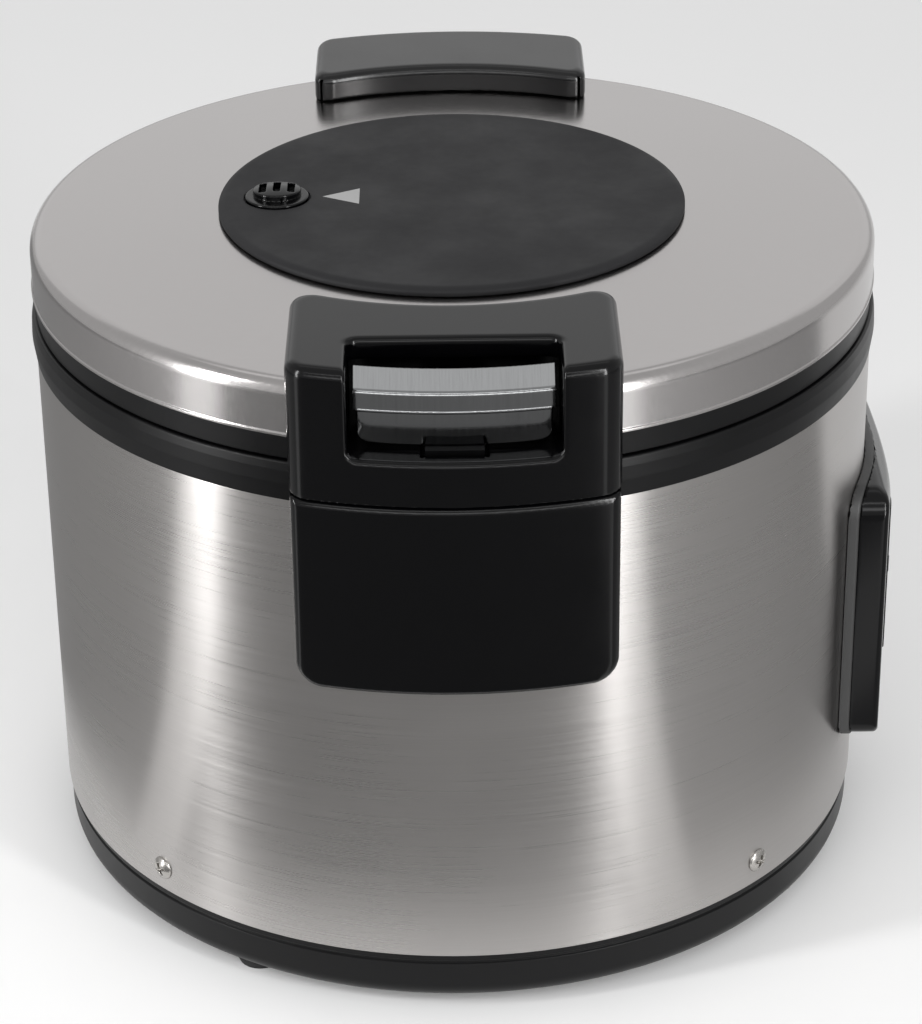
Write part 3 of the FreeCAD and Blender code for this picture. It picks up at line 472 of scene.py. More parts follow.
COLLAR_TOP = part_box("body_collar")[1][2] / MM
collar = even_normals(turned("collar_ring", [
    (DRUM_RADIUS + 0.5, DRUM_TOP + 0.1, 0.3),
    (DRUM_RADIUS + 1.6, DRUM_TOP + 8, 6.0),
    (DRUM_RADIUS + 1.3, COLLAR_TOP - 4, 4.0),
    (DRUM_RADIUS + 0.6, COLLAR_TOP, 1.2),
    (160.0, COLLAR_TOP, 1.0),
    (160.0, COLLAR_TOP - 13, 0.5),
    (163.0, COLLAR_TOP - 13, 0.5),
    (163.0, COLLAR_TOP - 3),
    (DRUM_RADIUS - 4.4, COLLAR_TOP - 3),
    (DRUM_RADIUS - 4.4, DRUM_TOP - 10),
    (DRUM_RADIUS - 1.4, DRUM_TOP - 10),
    (DRUM_RADIUS - 1.4, DRUM_TOP + 0.1),
], segments=360))
fit(collar, black_polypropylene, "body", "black_satin", "body_collar")


# Inner pot: pressed aluminium with a hard dark anodised skin and a rolled rim that hangs in
# the well.

pot_low, pot_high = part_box("inner_pot")
POT_RADIUS = 152.0
POT_WALL = 2.0
POT_FLOOR = pot_low[2] / MM
POT_RIM = pot_high[2] / MM
# Hard anodising leaves aluminium dark grey and dull, with the spinning lines just showing
anodised_aluminium = polished_steel(
    "aluminium_hard_anodised", "#6c6c6e", "#59595b", 0.42, 0.5, (6.0, 6.0, 900.0)
)
pot = even_normals(turned("inner_pot_spun", [
    (0.01, POT_FLOOR),
    (POT_RADIUS, POT_FLOOR, 24.0),
    (POT_RADIUS, POT_RIM - 2, 1.0),
    (164.0, POT_RIM - 2, 0.9),
    (164.0, POT_RIM, 0.9),
    (POT_RADIUS - POT_WALL, POT_RIM, 1.8),
    (POT_RADIUS - POT_WALL, POT_FLOOR + 2.5, 22.0),
    (0.01, POT_FLOOR + 2.5),
]))
fit(pot, anodised_aluminium, "body", "aluminium", "inner_pot")


# Lid skin: a shallow pan pressed from 1 mm stainless. Its wall has a small hem at the foot,
# the shoulder is rolled over a 7 mm radius, and the top is faintly domed.

skin_low, skin_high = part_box("lid_shell")
SKIN_FOOT = skin_low[2] / MM
SKIN_TOP = skin_high[2] / MM
SHOULDER = 303.4
DISC_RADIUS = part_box("centre_disc")[1][0] / MM
NOTCH_HALF_WIDTH = 47.0
NOTCH_REAR = 149.0


def cut_box(made, low, high):
    """Takes a box, in millimetres, out of a piece."""
    bpy.ops.mesh.primitive_cube_add(size=1)
    tool = bpy.context.object
    low = Vector(low) * MM
    high = Vector(high) * MM
    tool.matrix_world = Matrix.Translation((low + high) / 2) @ Matrix.Diagonal((*(high - low), 1))
    taken = made.modifiers.new("Cut", "BOOLEAN")
    taken.object = tool
    taken.solver = "EXACT"
    settle(made)
    bpy.data.objects.remove(tool)
    made.data.set_sharp_from_angle(angle=math.radians(35))
    return made


# The same stainless sheet with a finer mill finish than the drum, so the top is an even
# grey and the rolled shoulder draws lamps out into thin bright lines
lid_steel = polished_steel(
    "stainless_fine_finish", "#c0bdbc", "#b8b5b4", 0.2, 0.0, (160.0, 1100.0, 160.0)
)
skin = turned("lid_skin", [
    (DRUM_RADIUS + 0.5, SKIN_FOOT, 0.3),
    (DRUM_RADIUS + 0.5, SKIN_FOOT + 1.1, 0.4),
    (DRUM_RADIUS, SKIN_FOOT + 1.7, 0.4),
    (DRUM_RADIUS, SHOULDER, 7.0),
    (DISC_RADIUS + 2, SKIN_TOP - 0.25, 40.0),
    (60.0, SKIN_TOP),
    (60.0, SKIN_TOP - 1),
    (DISC_RADIUS + 2, SKIN_TOP - 1.25),
    (DRUM_RADIUS - 1, SHOULDER - 1, 6.0),
    (DRUM_RADIUS - 1, SKIN_FOOT, 0.3),
], segments=360)
cut_box(skin, (-NOTCH_HALF_WIDTH, -230, 260), (NOTCH_HALF_WIDTH, -NOTCH_REAR, 330))
fit(even_normals(skin), lid_steel, "lid", "satin_steel", "lid_shell")


# Lid ring: black polypropylene between the skin and the collar. It carries the inner pan
# and stands back a little, so it reads as a dark joint all round.

RING_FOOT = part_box("lid_ring")[0][2] / MM
RING_RADIUS = DRUM_RADIUS - 0.9
SPIGOT_RADIUS = DRUM_RADIUS - 1.25
ring = turned("lid_ring_moulding", [
    (RING_RADIUS, RING_FOOT, 0.8),
    (RING_RADIUS, SKIN_FOOT - 0.25, 0.3),
    (SPIGOT_RADIUS, SKIN_FOOT - 0.25),
    (SPIGOT_RADIUS, SKIN_FOOT + 7.8),
    (SPIGOT_RADIUS - 2.5, SKIN_FOOT + 7.8),
    (SPIGOT_RADIUS - 2.5, RING_FOOT + 7.6),
    (160.0, RING_FOOT + 7.6),
    (160.0, RING_FOOT + 4),
    (171.0, RING_FOOT + 4, 1.0),
    (171.0, RING_FOOT, 1.0),
], segments=360)
cut_box(ring, (-NOTCH_HALF_WIDTH, -230, RING_FOOT + 7.5), (NOTCH_HALF_WIDTH, -NOTCH_REAR, 330))
fit(even_normals(ring), black_polypropylene, "lid", "black_satin", "lid_ring")


# Inner lid: a lift-off spun aluminium plate under the lid, with a silicone seal round its
# edge, steam holes on one side and a black knob in the middle.

INNER_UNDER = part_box("inner_lid")[0][2] / MM
# Silicone rubber, smooth from its mould: pale, milky and half dull
moulded_silicone = textured_plastic(
    "silicone_rubber_moulded", "#c9c8c4", "#b9b8b4", 0.5, 0.9, 0.004
)
seal_low, seal_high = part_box("lid_gasket")
SEAL_FOOT = seal_low[2] / MM
SEAL_TOP = seal_high[2] / MM
seal = even_normals(turned("lid_seal", [
    (150.1, SEAL_FOOT + 1.6, 0.4),
    (153.0, SEAL_FOOT + 1.2, 0.5),
    (154.6, SEAL_FOOT, 0.7),
    (156.2, SEAL_FOOT + 1.1, 0.5),
    (157.4, SEAL_FOOT, 0.7),
    (159.4, SEAL_FOOT + 1.5, 1.0),
    (159.4, SEAL_TOP, 0.8),
    (152.0, SEAL_TOP, 0.8),
    (152.0, INNER_UNDER + 1.2),
    (155.2, INNER_UNDER + 1.2),
    (155.2, INNER_UNDER - 0.15),
    (150.1, INNER_UNDER - 0.15),
]))
fit(seal, moulded_silicone, "lid", "silicone", "lid_gasket")


# Lid disc: a dark grey ABS moulding screwed to the lid from below, dull from a sparked
# mould, with a bevelled rim. A plain printed triangle points at the vent.

VENT_X = -78.6
disc_low, disc_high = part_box("centre_disc")
DISC_UNDER = disc_low[2] / MM
DISC_TOP = disc_high[2] / MM
VENT_RADIUS = 14.3


def disc_shape(x, y, z):
    """The disc with its bevelled rim, the vent's seat and the hole through it."""
    radial = np.hypot(x, y)
    from_vent = np.hypot(x - VENT_X, y)
    plate = meet(between(z, DISC_UNDER, DISC_TOP), radial - DISC_RADIUS, 0.9)
    bevel = (radial - DISC_RADIUS + 2.6) * 0.5 + (z - DISC_TOP) * 0.86
    plate = meet(plate, bevel, 0.6)
    seat = np.maximum(from_vent - VENT_RADIUS - 0.6, DISC_TOP - 1.4 - z)
    plate = carve(plate, seat, 0.3)
    return carve(plate, from_vent - 10.8, 0.2)


# Sparked ABS: charcoal grey, very dull, with a fine even grain
sparked_abs = textured_plastic(
    "abs_grey_sparked", "#1f1f21", "#18181a", 0.62, 0.55, 0.02, 0.0, 0.35
)
disc = moulded(
    "lid_disc", disc_shape, (-DISC_RADIUS, -DISC_RADIUS, DISC_UNDER),
    (DISC_RADIUS, DISC_RADIUS, DISC_TOP), 0.75,
)
fit(disc, sparked_abs, "lid", "disc_grey", "centre_disc")

# Screen ink: thin, white and dull, a little broken by the grain below it
pad_ink = textured_plastic("screen_ink_white", "#bdbdbd", "#9c9c9c", 0.6, 0.7, 0.005)
TRIANGLE_TIP = -58.0
TRIANGLE_BASE = -41.5
TRIANGLE_HALF_WIDTH = 9.0
INK_THICKNESS = 0.06
ink_points = []
for level in (DISC_TOP + 0.005, DISC_TOP + INK_THICKNESS):
    ink_points.append((TRIANGLE_TIP * MM, 0.0, level * MM))
    ink_points.append((TRIANGLE_BASE * MM, -TRIANGLE_HALF_WIDTH * MM, level * MM))
    ink_points.append((TRIANGLE_BASE * MM, TRIANGLE_HALF_WIDTH * MM, level * MM))
ink_faces = [(0, 2, 1), (3, 4, 5)]
for side in range(3):
    following = (side + 1) % 3
    ink_faces.append((side, following, 3 + following, 3 + side))
triangle = mesh_object("lid_disc_triangle", ink_points, ink_faces)
triangle.data.materials.append(pad_ink)
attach(triangle, "lid")


# Steam vent: a black button on a hollow stem that pulls out of the disc for washing. Three
# slots let the steam out, and the low ledge at the front gives a fingernail a hold.

vent_low, vent_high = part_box("vent_cap")
VENT_TOP = vent_high[2] / MM
VENT_FOOT = vent_low[2] / MM


def vent_shape(x, y, z):
    """The slotted button and its stem."""
    x = x - VENT_X
    radial = np.hypot(x, y)
    dome = np.sqrt(radial ** 2 + (z - VENT_TOP + 42.0) ** 2) - 42.0
    head = meet(radial - VENT_RADIUS, between(z, DISC_TOP - 1.35, VENT_TOP + 5), 0.8)
    head = meet(head, dome, 1.4)
    ledge = np.maximum(10.9 - np.hypot(x, y - 2.4), VENT_TOP - 3.5 - z)
    head = carve(head, ledge, 0.5)
    stem = np.maximum(radial - 10.0, between(z, VENT_FOOT, DISC_TOP))
    whole = join(head, stem, 0.5)
    hollow = np.maximum(radial - 8.2, z - (VENT_TOP - 2.4))
    whole = carve(whole, hollow, 0.3)
    for offset in (-6.4, 0.0, 6.4):
        slot = meet(np.abs(x - offset) - 1.6, between(y, -3.5, 9.0), 0.6)
        whole = carve(whole, np.maximum(slot, VENT_TOP - 4.5 - z), 0.35)
    return whole


# Polished ABS: black, glossy, with the faint haze of a wiped plastic
gloss_abs = textured_plastic(
    "abs_black_polished", "#040405", "#020203", 0.16, 1.4, 0.0025, 0.0, 0.3
)
vent = moulded(
    "steam_vent", vent_shape, (VENT_X - VENT_RADIUS, -VENT_RADIUS, VENT_FOOT),
    (VENT_X + VENT_RADIUS, VENT_RADIUS, VENT_TOP), 0.4,
)
fit(vent, gloss_abs, "vent", "black_gloss", "vent_cap")


# Latch housing: a black ABS moulding at the lid's front edge. It wraps over the shoulder
# and down past the joint, with an open recess for the fingers and the lever.

HOUSING_RADIUS = 206.0
HOUSING_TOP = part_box("latch_housing")[1][2] / MM
HOUSING_HALF_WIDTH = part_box("latch_housing")[1][0] / MM
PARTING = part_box("latch_housing")[0][2] / MM
LATCH_REAR = 133.5
RECESS_HALF_WIDTH = 43.3
RECESS_REAR = 169.0
RECESS_FLOOR = 280.0
DRUM_GAP = 0.4
ABS_WALL = 2.8
HOOK_ROOM_HALF_WIDTH = 13.5
HOOK_ROOM_FRONT = 203.2
STRAP_ROOM_FRONT = 198.9
STRAP_ROOM_REAR = 177.5


def ring_block(x, y, z, radii, half_width, heights, corners):
    """A block between two radii, cut level and square; corners: outer, inner and top rounding."""
    inner, outer = radii
    outer_corner, inner_corner, top_corner = corners
    radial = np.hypot(x, y)
    plan = meet(radial - outer, np.abs(x) - half_width, outer_corner)
    back = meet(inner - radial, np.abs(x) - half_width, inner_corner)
    plan = np.maximum(plan, back)
    block = meet(plan, z - heights[1], top_corner)
    return meet(block, heights[0] - z, 0.4)


def lid_body(x, y, z):
    """The closed lid and collar, grown by a clearance."""
    radial = np.hypot(x, y)
    top = SKIN_TOP + 0.15 - 0.043 * np.maximum(radial - DISC_RADIUS - 2, 0)
    lid = meet(radial - (DRUM_RADIUS + 0.9), z - top, 3.5)
    collar_part = np.maximum(radial - (DRUM_RADIUS + 2.0), z - (COLLAR_TOP + 0.3))
    return np.minimum(lid, collar_part)


def front_half(y):
    """Keeps what is on the front side."""
    return y + 60.0


def latch_shape(x, y, z):
    """The latch housing with its recess and the slot for the hook."""
    block = ring_block(
        x, y, z, (LATCH_REAR, HOUSING_RADIUS), HOUSING_HALF_WIDTH, (PARTING, HOUSING_TOP),
        (8.0, 13.0, 5.0),
    )
    block = np.maximum(block, front_half(y))
    block = carve(block, lid_body(x, y, z), 0.2)
    inside = NOTCH_HALF_WIDTH - 0.4
    liner = np.maximum(np.abs(x) - inside, between(z, RECESS_FLOOR - 2.3, SKIN_TOP + 2))
    liner = np.maximum(liner, between(y, -(DRUM_RADIUS + 5), -(NOTCH_REAR + 0.4)))
    whole = np.minimum(block, liner)
    pocket = np.maximum(np.abs(x) - (inside - ABS_WALL), between(z, RECESS_FLOOR, SKIN_TOP + 1))
    pocket = np.maximum(pocket, between(y, -(DRUM_RADIUS - 0.5), -(NOTCH_REAR + 0.4 + ABS_WALL)))
    whole = carve(whole, pocket, 0.4)
    mouth = meet(np.abs(x) - RECESS_HALF_WIDTH, y + RECESS_REAR, 5.0)
    mouth = meet(mouth, RECESS_FLOOR - z, 4.0)
    whole = carve(whole, mouth, 2.6)
    hook_sides = np.abs(x) - HOOK_ROOM_HALF_WIDTH
    hook_room = np.maximum(hook_sides, between(z, 240, 279))
    hook_room = np.maximum(hook_room, between(y, -HOOK_ROOM_FRONT, -(DRUM_RADIUS + 0.5)))
    strap_room = np.maximum(hook_sides, between(z, RECESS_FLOOR - 7, 290))
    strap_room = np.maximum(strap_room, between(y, -STRAP_ROOM_FRONT, -STRAP_ROOM_REAR))
    return carve(whole, np.minimum(hook_room, strap_room), 0.2)


latch = moulded(
    "latch_housing_moulding", latch_shape,
    (-HOUSING_HALF_WIDTH, -HOUSING_RADIUS, PARTING),
    (HOUSING_HALF_WIDTH, -LATCH_REAR + 20, HOUSING_TOP), 0.8,
)
fit(latch, gloss_abs, "lid", "black_gloss", "latch_housing")


# Front housing: the fixed half below the latch, in the same polished ABS. The catch is
# behind its upper half and the open lower half is a grip for lifting.

front_low, front_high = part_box("front_housing")
FRONT_FOOT = front_low[2] / MM
FRONT_TOP = front_high[2] / MM
FRONT_HALF_WIDTH = front_high[0] / MM
FRONT_RADIUS = HOUSING_RADIUS - 0.4


def grip_housing(x, y, z, radius, half_width, top, grip_top, corners):
    """A housing on the drum wall with rounded lower corners, hollow and open below."""
    vertical_corner, low_corner = corners
    radial = np.hypot(x, y)
    face = meet(np.abs(x) - half_width, FRONT_FOOT - z, low_corner)
    face = meet(face, z - top, 0.5)
    block = meet(face, radial - radius, vertical_corner)
    block = np.maximum(block, DRUM_RADIUS + DRUM_GAP - radial)
    inside = np.maximum(radial - (radius - ABS_WALL), np.abs(x) - (half_width - ABS_WALL))
    grip = np.maximum(inside, z - grip_top)
    return carve(block, grip, 0.8)


def front_shape(x, y, z):
    """The front housing with the collar's room and the slot for the hook."""
    radial = np.hypot(x, y)
    block = grip_housing(
        x, y, z, FRONT_RADIUS, FRONT_HALF_WIDTH, FRONT_TOP, FRONT_FOOT + 44, (4.0, 11.0)
    )
    room = np.maximum(radial - (DRUM_RADIUS + 2.1), DRUM_TOP - 0.5 - z)
    inside = np.maximum(radial - (FRONT_RADIUS - ABS_WALL), np.abs(x) - (FRONT_HALF_WIDTH - ABS_WALL))
    catch_room = np.maximum(inside, between(z, FRONT_FOOT + 46.8, FRONT_TOP - ABS_WALL))
    slot = np.maximum(np.abs(x) - 16, between(z, FRONT_TOP - 10, FRONT_TOP + 5))
    slot = np.maximum(slot, radial - (FRONT_RADIUS - ABS_WALL))
    rooms = np.minimum(np.minimum(room, catch_room), slot)
    return np.maximum(carve(block, rooms, 0.2), front_half(y))


front = moulded(
    "front_housing_moulding", front_shape,
    (-FRONT_HALF_WIDTH, -FRONT_RADIUS, FRONT_FOOT),
    (FRONT_HALF_WIDTH, -DRUM_RADIUS + 14, FRONT_TOP), 0.8,
)
fit(front, gloss_abs, "body", "black_gloss", "front_housing")


# Release lever: a chromed steel pressing. Its top flange and upper face are bright, and the
# lower face slopes back under the crease.

LEVER_RADIUS = 195.0
LEVER_REAR = 182.0
LEVER_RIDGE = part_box("release_lever")[1][2] / MM
LEVER_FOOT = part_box("release_lever")[0][2] / MM
LEVER_TOP = LEVER_RIDGE - 5.4
LEVER_CREASE = LEVER_TOP - 8.6
LEVER_HALF_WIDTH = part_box("release_lever")[1][0] / MM
LEVER_SHEET = 1.6


def lever_shape(x, y, z):
    """The bent pressing: sloped flange, upright face, apron that leans back."""
    radial = np.hypot(x, y)
    sides = np.abs(x) - LEVER_HALF_WIDTH
    fall = (LEVER_RIDGE - LEVER_TOP) / (LEVER_RADIUS - LEVER_REAR)
    lean = math.hypot(1, fall)
    top = (z - LEVER_TOP - fall * (LEVER_RADIUS - radial)) / lean
    outside = meet(radial - LEVER_RADIUS, top, 1.4)
    inside = meet(radial - LEVER_RADIUS + LEVER_SHEET, top + LEVER_SHEET, 0.4)
    upper = carve(outside, inside)
    upper = meet(upper, LEVER_REAR - radial, 0.5)
    upper = meet(upper, sides, 0.5)
    upper = np.maximum(upper, LEVER_CREASE - z)
    slope = (radial - LEVER_RADIUS - 0.1) + 0.168 * (LEVER_CREASE - z)
    lower = np.maximum(between(slope, -1.9, 0.0), between(z, LEVER_FOOT, LEVER_CREASE + 0.3))
    corner = meet(np.abs(x) - (LEVER_HALF_WIDTH - 1.5), LEVER_FOOT - z, 5.0)
    lower = meet(lower, corner, 0.4)
    return np.maximum(join(upper, lower, 0.6), front_half(y))


def chrome_plate():
    """Bright chrome over pressed steel: mirror-like, with fine upright polishing lines."""
    material, tree = new_material("chrome_plated_pressing")
    place = add(tree, "TexCoord")
    lengthen = add(tree, "Mapping", {"Scale": (1300.0, 60.0, 28.0)}, {"Vector": place.outputs["Object"]})
    lines = add(
        tree, "TexNoise", {"Scale": 1.0, "Detail": 4.0, "Roughness": 0.6},
        {"Vector": lengthen.outputs["Vector"]},
    )
    gloss = add(
        tree, "MapRange", {"From Min": 0.3, "From Max": 0.7, "To Min": 0.06, "To Max": 0.17},
        {"Value": lines.outputs["Fac"]},
    )
    tint = add(
        tree, "Mix", {"data_type": "RGBA", 6: linear("#8e8f90"), 7: linear("#a6a7a8")},
        {0: lines.outputs["Fac"]},
    )
    bump = add(
        tree, "Bump", {"Strength": 0.5, "Distance": 0.00002}, {"Height": lines.outputs["Fac"]}
    )
    surface = add(
        tree, "BsdfPrincipled", {"Metallic": 1.0},
        {
            "Base Color": tint.outputs[2],
            "Roughness": gloss.outputs["Result"],
            "Normal": bump.outputs["Normal"],
        },
    )
    add(tree, "OutputMaterial", {}, {"Surface": surface.outputs["BSDF"]})
    return material


bright_chrome = chrome_plate()
lever = moulded(
    "release_lever_pressing", lever_shape,
    (-LEVER_HALF_WIDTH, -LEVER_RADIUS - 1, LEVER_FOOT),
    (LEVER_HALF_WIDTH, -LEVER_REAR + 8, LEVER_RIDGE), 0.32,
)
fit(lever, bright_chrome, "lever", "chrome", "release_lever")


# Rear cover: the twin of the latch housing over the hinge arm, screwed down from inside the
# lid, in polished ABS.

cover_low, cover_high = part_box("rear_cover")
COVER_REAR = 149.0
COVER_HALF_WIDTH = cover_high[0] / MM
COVER_RADIUS = HOUSING_RADIUS - 2.5


def cover_shape(x, y, z):
    """The rear cover, hollow over the hinge arm."""
    block = ring_block(
        x, y, z, (COVER_REAR, COVER_RADIUS), COVER_HALF_WIDTH, (cover_low[2] / MM, HOUSING_TOP),
        (8.0, 10.0, 4.5),
    )
    block = np.maximum(block, front_half(-y))
    radial = np.hypot(x, y)
    hollow = np.maximum(between(radial, COVER_REAR + 2.6, COVER_RADIUS - 2.6), z - (HOUSING_TOP - 2.6))
    hollow = np.maximum(hollow, np.abs(x) - (COVER_HALF_WIDTH - 2.6))
    return carve(block, np.minimum(hollow, lid_body(x, y, z)), 0.3)


cover = moulded(
    "rear_cover_moulding", cover_shape,
    (-COVER_HALF_WIDTH, COVER_REAR - 20, cover_low[2] / MM),
    (COVER_HALF_WIDTH, COVER_RADIUS, HOUSING_TOP), 0.8,
)
# Polished ABS from a plainer mould face, a little rougher than the latch's; its black is painted lighter
# so the top reads brighter than the latch, which is painted light
cover_abs_painted_lighter = textured_plastic("abs_black_cover_painted_lighter", "#0c0c0d", "#080809", 0.22, 1.4, 0.0025)
fit(cover, cover_abs_painted_lighter, "lid", "black_gloss", "rear_cover")


# Hinge housing: the fixed cover on the drum's back, over the steel hinge bracket. Its lower
# half is the rear grip.

hinge_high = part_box("hinge_housing")[1]
HINGE_COVER_RADIUS = hinge_high[1] / MM
HINGE_COVER_TOP = hinge_high[2] / MM
HINGE_HALF_WIDTH = hinge_high[0] / MM
EAR_SLOT_HALF_WIDTH = 29.0
EAR_SLOT_REAR = 209.1


def hinge_shape(x, y, z):
    """The rear housing with the slot that the hinge's ears stand through."""
    radial = np.hypot(x, y)
    block = grip_housing(
        x, y, z, HINGE_COVER_RADIUS, HINGE_HALF_WIDTH, HINGE_COVER_TOP, FRONT_FOOT + 14, (5.0, 11.0)
    )
    inside = np.maximum(
        radial - (HINGE_COVER_RADIUS - ABS_WALL), np.abs(x) - (HINGE_HALF_WIDTH - ABS_WALL)
    )
    room = np.maximum(inside, between(z, FRONT_FOOT + 16.8, HINGE_COVER_TOP - ABS_WALL))
    slot = between(z, HINGE_COVER_TOP - 10, HINGE_COVER_TOP + 5)
    slot = np.maximum(np.abs(x) - EAR_SLOT_HALF_WIDTH, slot)
    slot = np.maximum(slot, y - EAR_SLOT_REAR)
    return np.maximum(carve(block, np.minimum(room, slot), 0.3), front_half(-y))


hinge_cover = moulded(
    "hinge_housing_moulding", hinge_shape,
    (-HINGE_HALF_WIDTH, DRUM_RADIUS - 14, FRONT_FOOT),
    (HINGE_HALF_WIDTH, HINGE_COVER_RADIUS, HINGE_COVER_TOP), 0.9,
)
fit(hinge_cover, gloss_abs, "body", "black_gloss", "hinge_housing")


# Control box: a black ABS box on a grey frame moulding that follows the drum. The outer
# face is bulged a little and the top slopes.

box_low, box_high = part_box("control_frame")
CONTROL_HALF_WIDTH = box_high[1] / MM
CONTROL_FOOT = box_low[2] / MM
CONTROL_TOP = 193.0
CONTROL_FACE = 202.0
BULGE_RADIUS = 396.0
FRAME_DEPTH = 4.6
PANEL_SEAT_HALF_WIDTH = 27.0
PANEL_SEAT_FOOT = 88.0
PANEL_SEAT_TOP = 168.0
PANEL_LEDGE = 4.0
CONTROL_REAR = 150.0


def control_outline(x, y, z, inset):
    """The outside form of the control box, drawn in by inset all round."""
    across = np.abs(y) - (CONTROL_HALF_WIDTH - inset)
    middle = (CONTROL_FOOT + CONTROL_TOP) / 2
    upper = meet(across, z - (CONTROL_TOP - inset), 13.0 - inset)
    lower = meet(across, CONTROL_FOOT + inset - z, 8.0 - inset)
    outline = np.where(z > middle, upper, lower)
    face = np.hypot(x - (CONTROL_FACE - BULGE_RADIUS), y) - (BULGE_RADIUS - inset)
    slope = (x - CONTROL_FACE + 9 + inset) * 0.766 + (z - CONTROL_TOP + inset * 0.4) * 0.643
    face = meet(face, slope, 2.0)
    return meet(outline, face, 2.2)


def frame_shape(x, y, z):
    """The grey frame between the box and the drum."""
    radial = np.hypot(x, y)
    solid = np.maximum(control_outline(x, y, z, 0.0), radial - (DRUM_RADIUS + FRAME_DEPTH))
    solid = np.maximum(solid, DRUM_RADIUS + 0.3 - radial)
    window = np.maximum(np.abs(y) - 55, between(z, CONTROL_FOOT + 14, CONTROL_TOP - 26))
    return carve(np.maximum(solid, CONTROL_REAR - x), window, 0.2)


def control_shape(x, y, z):
    """The black box with the seat for its panel."""
    radial = np.hypot(x, y)
    solid = carve(control_outline(x, y, z, 0.8), radial - (DRUM_RADIUS + FRAME_DEPTH + 0.15), 0.4)
    solid = carve(solid, control_outline(x, y, z, 3.4), 0.0)
    seat = np.maximum(np.abs(y) - PANEL_SEAT_HALF_WIDTH, between(z, PANEL_SEAT_FOOT, PANEL_SEAT_TOP))
    seat = np.maximum(seat, CONTROL_FACE - 1.8 - x)
    hole = between(z, PANEL_SEAT_FOOT + PANEL_LEDGE, PANEL_SEAT_TOP - PANEL_LEDGE)
    hole = np.maximum(np.abs(y) - (PANEL_SEAT_HALF_WIDTH - PANEL_LEDGE), hole)
    hole = np.maximum(hole, 190 - x)
    return np.maximum(carve(solid, np.minimum(seat, hole), 0.3), CONTROL_REAR - x)


# Grey ABS, sparked: a plain dark grey with little gloss
frame_abs = textured_plastic("abs_frame_grey_sparked", "#3b3b3b", "#323232", 0.5, 0.6, 0.012)
control_low = (175.0, -CONTROL_HALF_WIDTH, CONTROL_FOOT)
control_high = (206.0, CONTROL_HALF_WIDTH, CONTROL_TOP)
frame_piece = moulded("control_frame_moulding", frame_shape, control_low, control_high, 0.9)
fit(frame_piece, frame_abs, "body", "frame_grey", "control_frame")
control_piece = moulded("control_box_moulding", control_shape, control_low, control_high, 0.9)
fit(control_piece, gloss_abs, "body", "black_gloss", "control_box")


# Metal and plastic parts that keep the shape they have in the model: brackets, screws,
# plates and electrical parts, each in the finish of its real material.

# Zinc-plated mild steel: dull silver with a faint blue and yellow cast
zinc_plate = polished_steel("steel_zinc_plated", "#b3b3ae", "#9b9c98", 0.4, 0.0, (300.0, 300.0, 300.0))
# Mild steel with black oxide: dark, oily, half dull
black_oxide = polished_steel("steel_black_oxide", "#1b1b1c", "#131314", 0.5, 0.0, (260.0, 260.0, 260.0))
# Sand-cast aluminium, machined flat: pale grey with open grain
cast_aluminium = polished_steel(
    "aluminium_cast_machined", "#b2b2b1", "#9c9c9b", 0.45, 0.2, (500.0, 500.0, 500.0)
)
# Glass-fibre felt: off white, matted and fully dull
glass_felt = textured_plastic("glass_fibre_felt", "#d8d2c2", "#b8b09c", 0.95, 1.2, 0.6)
# Glazed steatite: white, hard and half glossy
steatite = textured_plastic("steatite_glazed", "#dedbd2", "#cfcbc0", 0.3, 0.8, 0.004)
# Silicone-covered wire: soft red-brown
wire_cover = textured_plastic("silicone_wire_cover", "#5a2a20", "#4a2018", 0.5, 1.0, 0.01)
# Acrylic lens: clear coloured plastic over a lamp
red_lens = textured_plastic("acrylic_lens_red", "#a01812", "#7c100c", 0.15, 2.0, 0.002, 0.6)
amber_lens = textured_plastic("acrylic_lens_amber", "#c47a14", "#9a5c0c", 0.15, 2.0, 0.002, 0.6)
finishes = {
    "satin_steel": lid_steel,
    "chrome": bright_chrome,
    "black_gloss": gloss_abs,
    "black_satin": black_polypropylene,
    "disc_grey": sparked_abs,
    "frame_grey": frame_abs,
    "black_steel": black_oxide,
    "zinc_steel": zinc_plate,
    "screw_steel": tumbled_steel,
    "aluminium": anodised_aluminium,
    "cast_aluminium": cast_aluminium,
    "rubber": moulded_rubber,
    "silicone": moulded_silicone,
    "fibre": glass_felt,
    "foam": glass_felt,
    "band": moulded_silicone,
    "red_lens": red_lens,
    "amber_lens": amber_lens,
    "ceramic": steatite,
    "cable": wire_cover,
}
for subpart in record["subparts"]:
    kept = frame["nodes"][subpart["node"]]
    kept.data.materials.clear()
    kept.data.materials.append(finishes[subpart["material_slot"]])


# Studio: a pale floor and soft lights. Two tall strips beside the cooker make the upright
# bands on the drum, and broad panels behind and above it light the lid.


def plain_card(name, code, roughness):
    """A dull painted surface for the studio."""
    return textured_plastic(name, code, code, roughness, 4.0, 0.0)


bpy.ops.mesh.primitive_plane_add(size=12)
floor = bpy.context.object
floor.name = "studio_floor"
floor.data.materials.append(plain_card("studio_floor_paint", "#fafafa", 0.9))


def panel_light(name, place, target, size, radiance):
    """A soft rectangular lamp of even brightness aimed at a point, itself out of sight."""
    data = bpy.data.lights.new(name, "AREA")
    data.shape = "RECTANGLE"
    data.size, data.size_y = size
    data.energy = radiance * math.pi * size[0] * size[1]
    made = bpy.data.objects.new(name, data)
    made.location = place
    made.rotation_euler = (Vector(target) - Vector(place)).to_track_quat("-Z", "Y").to_euler()
    made.visible_camera = False
    bpy.context.scene.collection.objects.link(made)
    return made


def place_round(azimuth, distance, height):
    """A point round the object; azimuth 0 is in front and 90 on the right."""
    angle = math.radians(azimuth)
    return distance * math.sin(angle), -distance * math.cos(angle), height


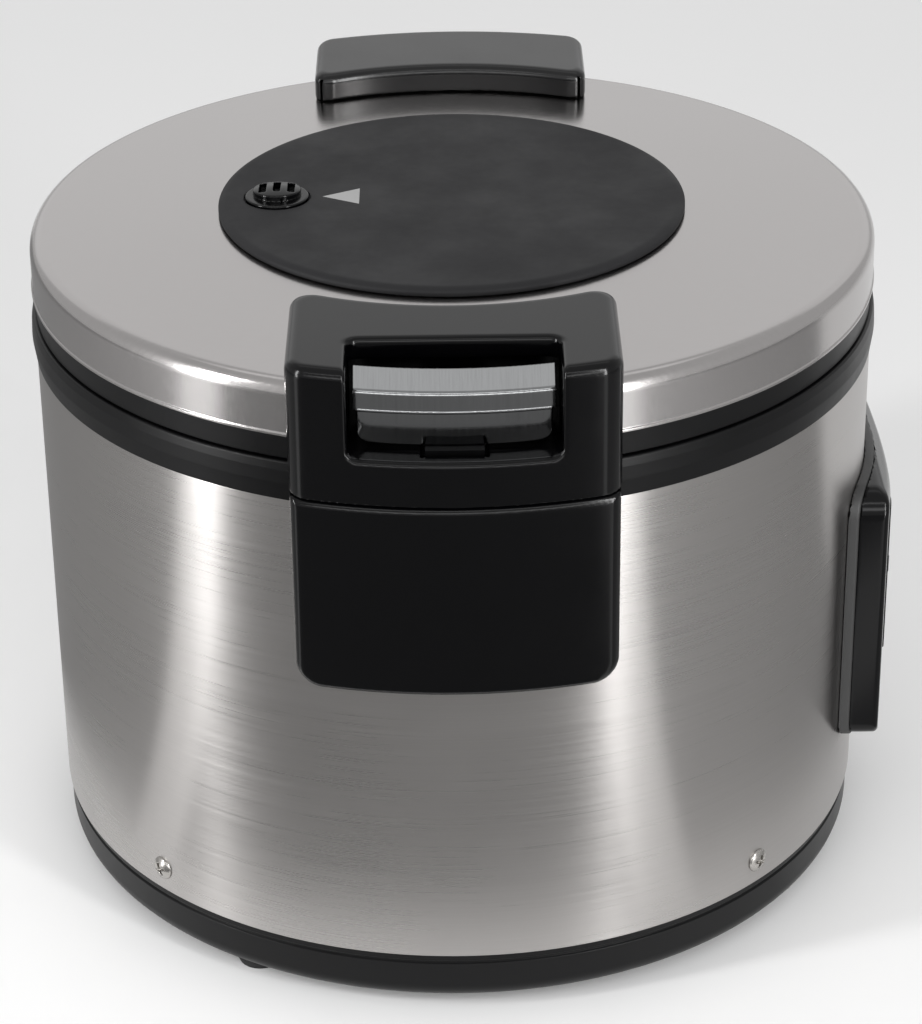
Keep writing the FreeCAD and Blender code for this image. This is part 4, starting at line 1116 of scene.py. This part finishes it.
panel_light("back_panel", (0.0, 2.2, 1.45), (0, 0, 0.3), (4.5, 1.9), 0.28)
panel_light("front_low_panel", (0.0, -2.4, 1.15), (0, 0, 0.3), (3.2, 0.5), 2.6)
panel_light("front_high_panel", (0.0, -1.6, 1.95), (0, 0, 0.3), (2.6, 0.22), 2.4)
panel_light("overhead_panel", (0.0, 0.6, 2.3), (0, 0, 0.3), (2.2, 0.5), 0.45)
panel_light("left_strip", place_round(-63, 1.5, 0.6), (0, 0, 0.15), (0.16, 1.2), 21.0)
panel_light("right_strip", place_round(38, 1.5, 0.6), (0, 0, 0.15), (0.16, 1.2), 18.0)


def floor_flag(name, first_azimuth, last_azimuth, code):
    """A cloth on the floor, between two azimuths, that only shows in reflections."""
    steps = 24
    points = []
    for step in range(steps + 1):
        azimuth = first_azimuth + (last_azimuth - first_azimuth) * step / steps
        points.append(place_round(azimuth, 0.26, 0.001))
        points.append(place_round(azimuth, 3.5, 0.001))
    faces = [(2 * step, 2 * step + 1, 2 * step + 3, 2 * step + 2) for step in range(steps)]
    made = mesh_object(name, points, faces)
    made.data.materials.append(plain_card(name + "_cloth", code, 0.95))
    made.visible_camera = False
    made.visible_diffuse = False
    made.visible_shadow = False
    made.visible_transmission = False
    return made


floor_flag("front_flag", -57, 32, "#727272")
floor_flag("right_flag", 44, 104, "#a2a2a2")
floor_flag("left_flag", -150, -69, "#9a9a9a")

world = bpy.data.worlds.new("studio_air")
bpy.context.scene.world = world
world.use_nodes = True
world.node_tree.nodes["Background"].inputs["Color"].default_value = linear("#d8d8d8")
world.node_tree.nodes["Background"].inputs["Strength"].default_value = 0.8

CAMERA_LENS = 115.8
CAMERA_PLACE = (0.0, -1.3802, 0.87408)
CAMERA_DOWN = 27.66
CAMERA_HEADING = -0.105
CAMERA_ROLL = -0.69
camera_data = bpy.data.cameras.new("camera")
camera_data.lens = CAMERA_LENS
camera = bpy.data.objects.new("camera", camera_data)
camera.location = CAMERA_PLACE
camera.matrix_world = (
    Matrix.Translation(camera.location)
    @ Matrix.Rotation(math.radians(CAMERA_HEADING), 4, "Z")
    @ Matrix.Rotation(math.radians(90 - CAMERA_DOWN), 4, "X")
    @ Matrix.Rotation(math.radians(CAMERA_ROLL), 4, "Z")
)
bpy.context.scene.collection.objects.link(camera)
bpy.context.scene.camera = camera
bpy.context.scene.view_settings.view_transform = "Standard"
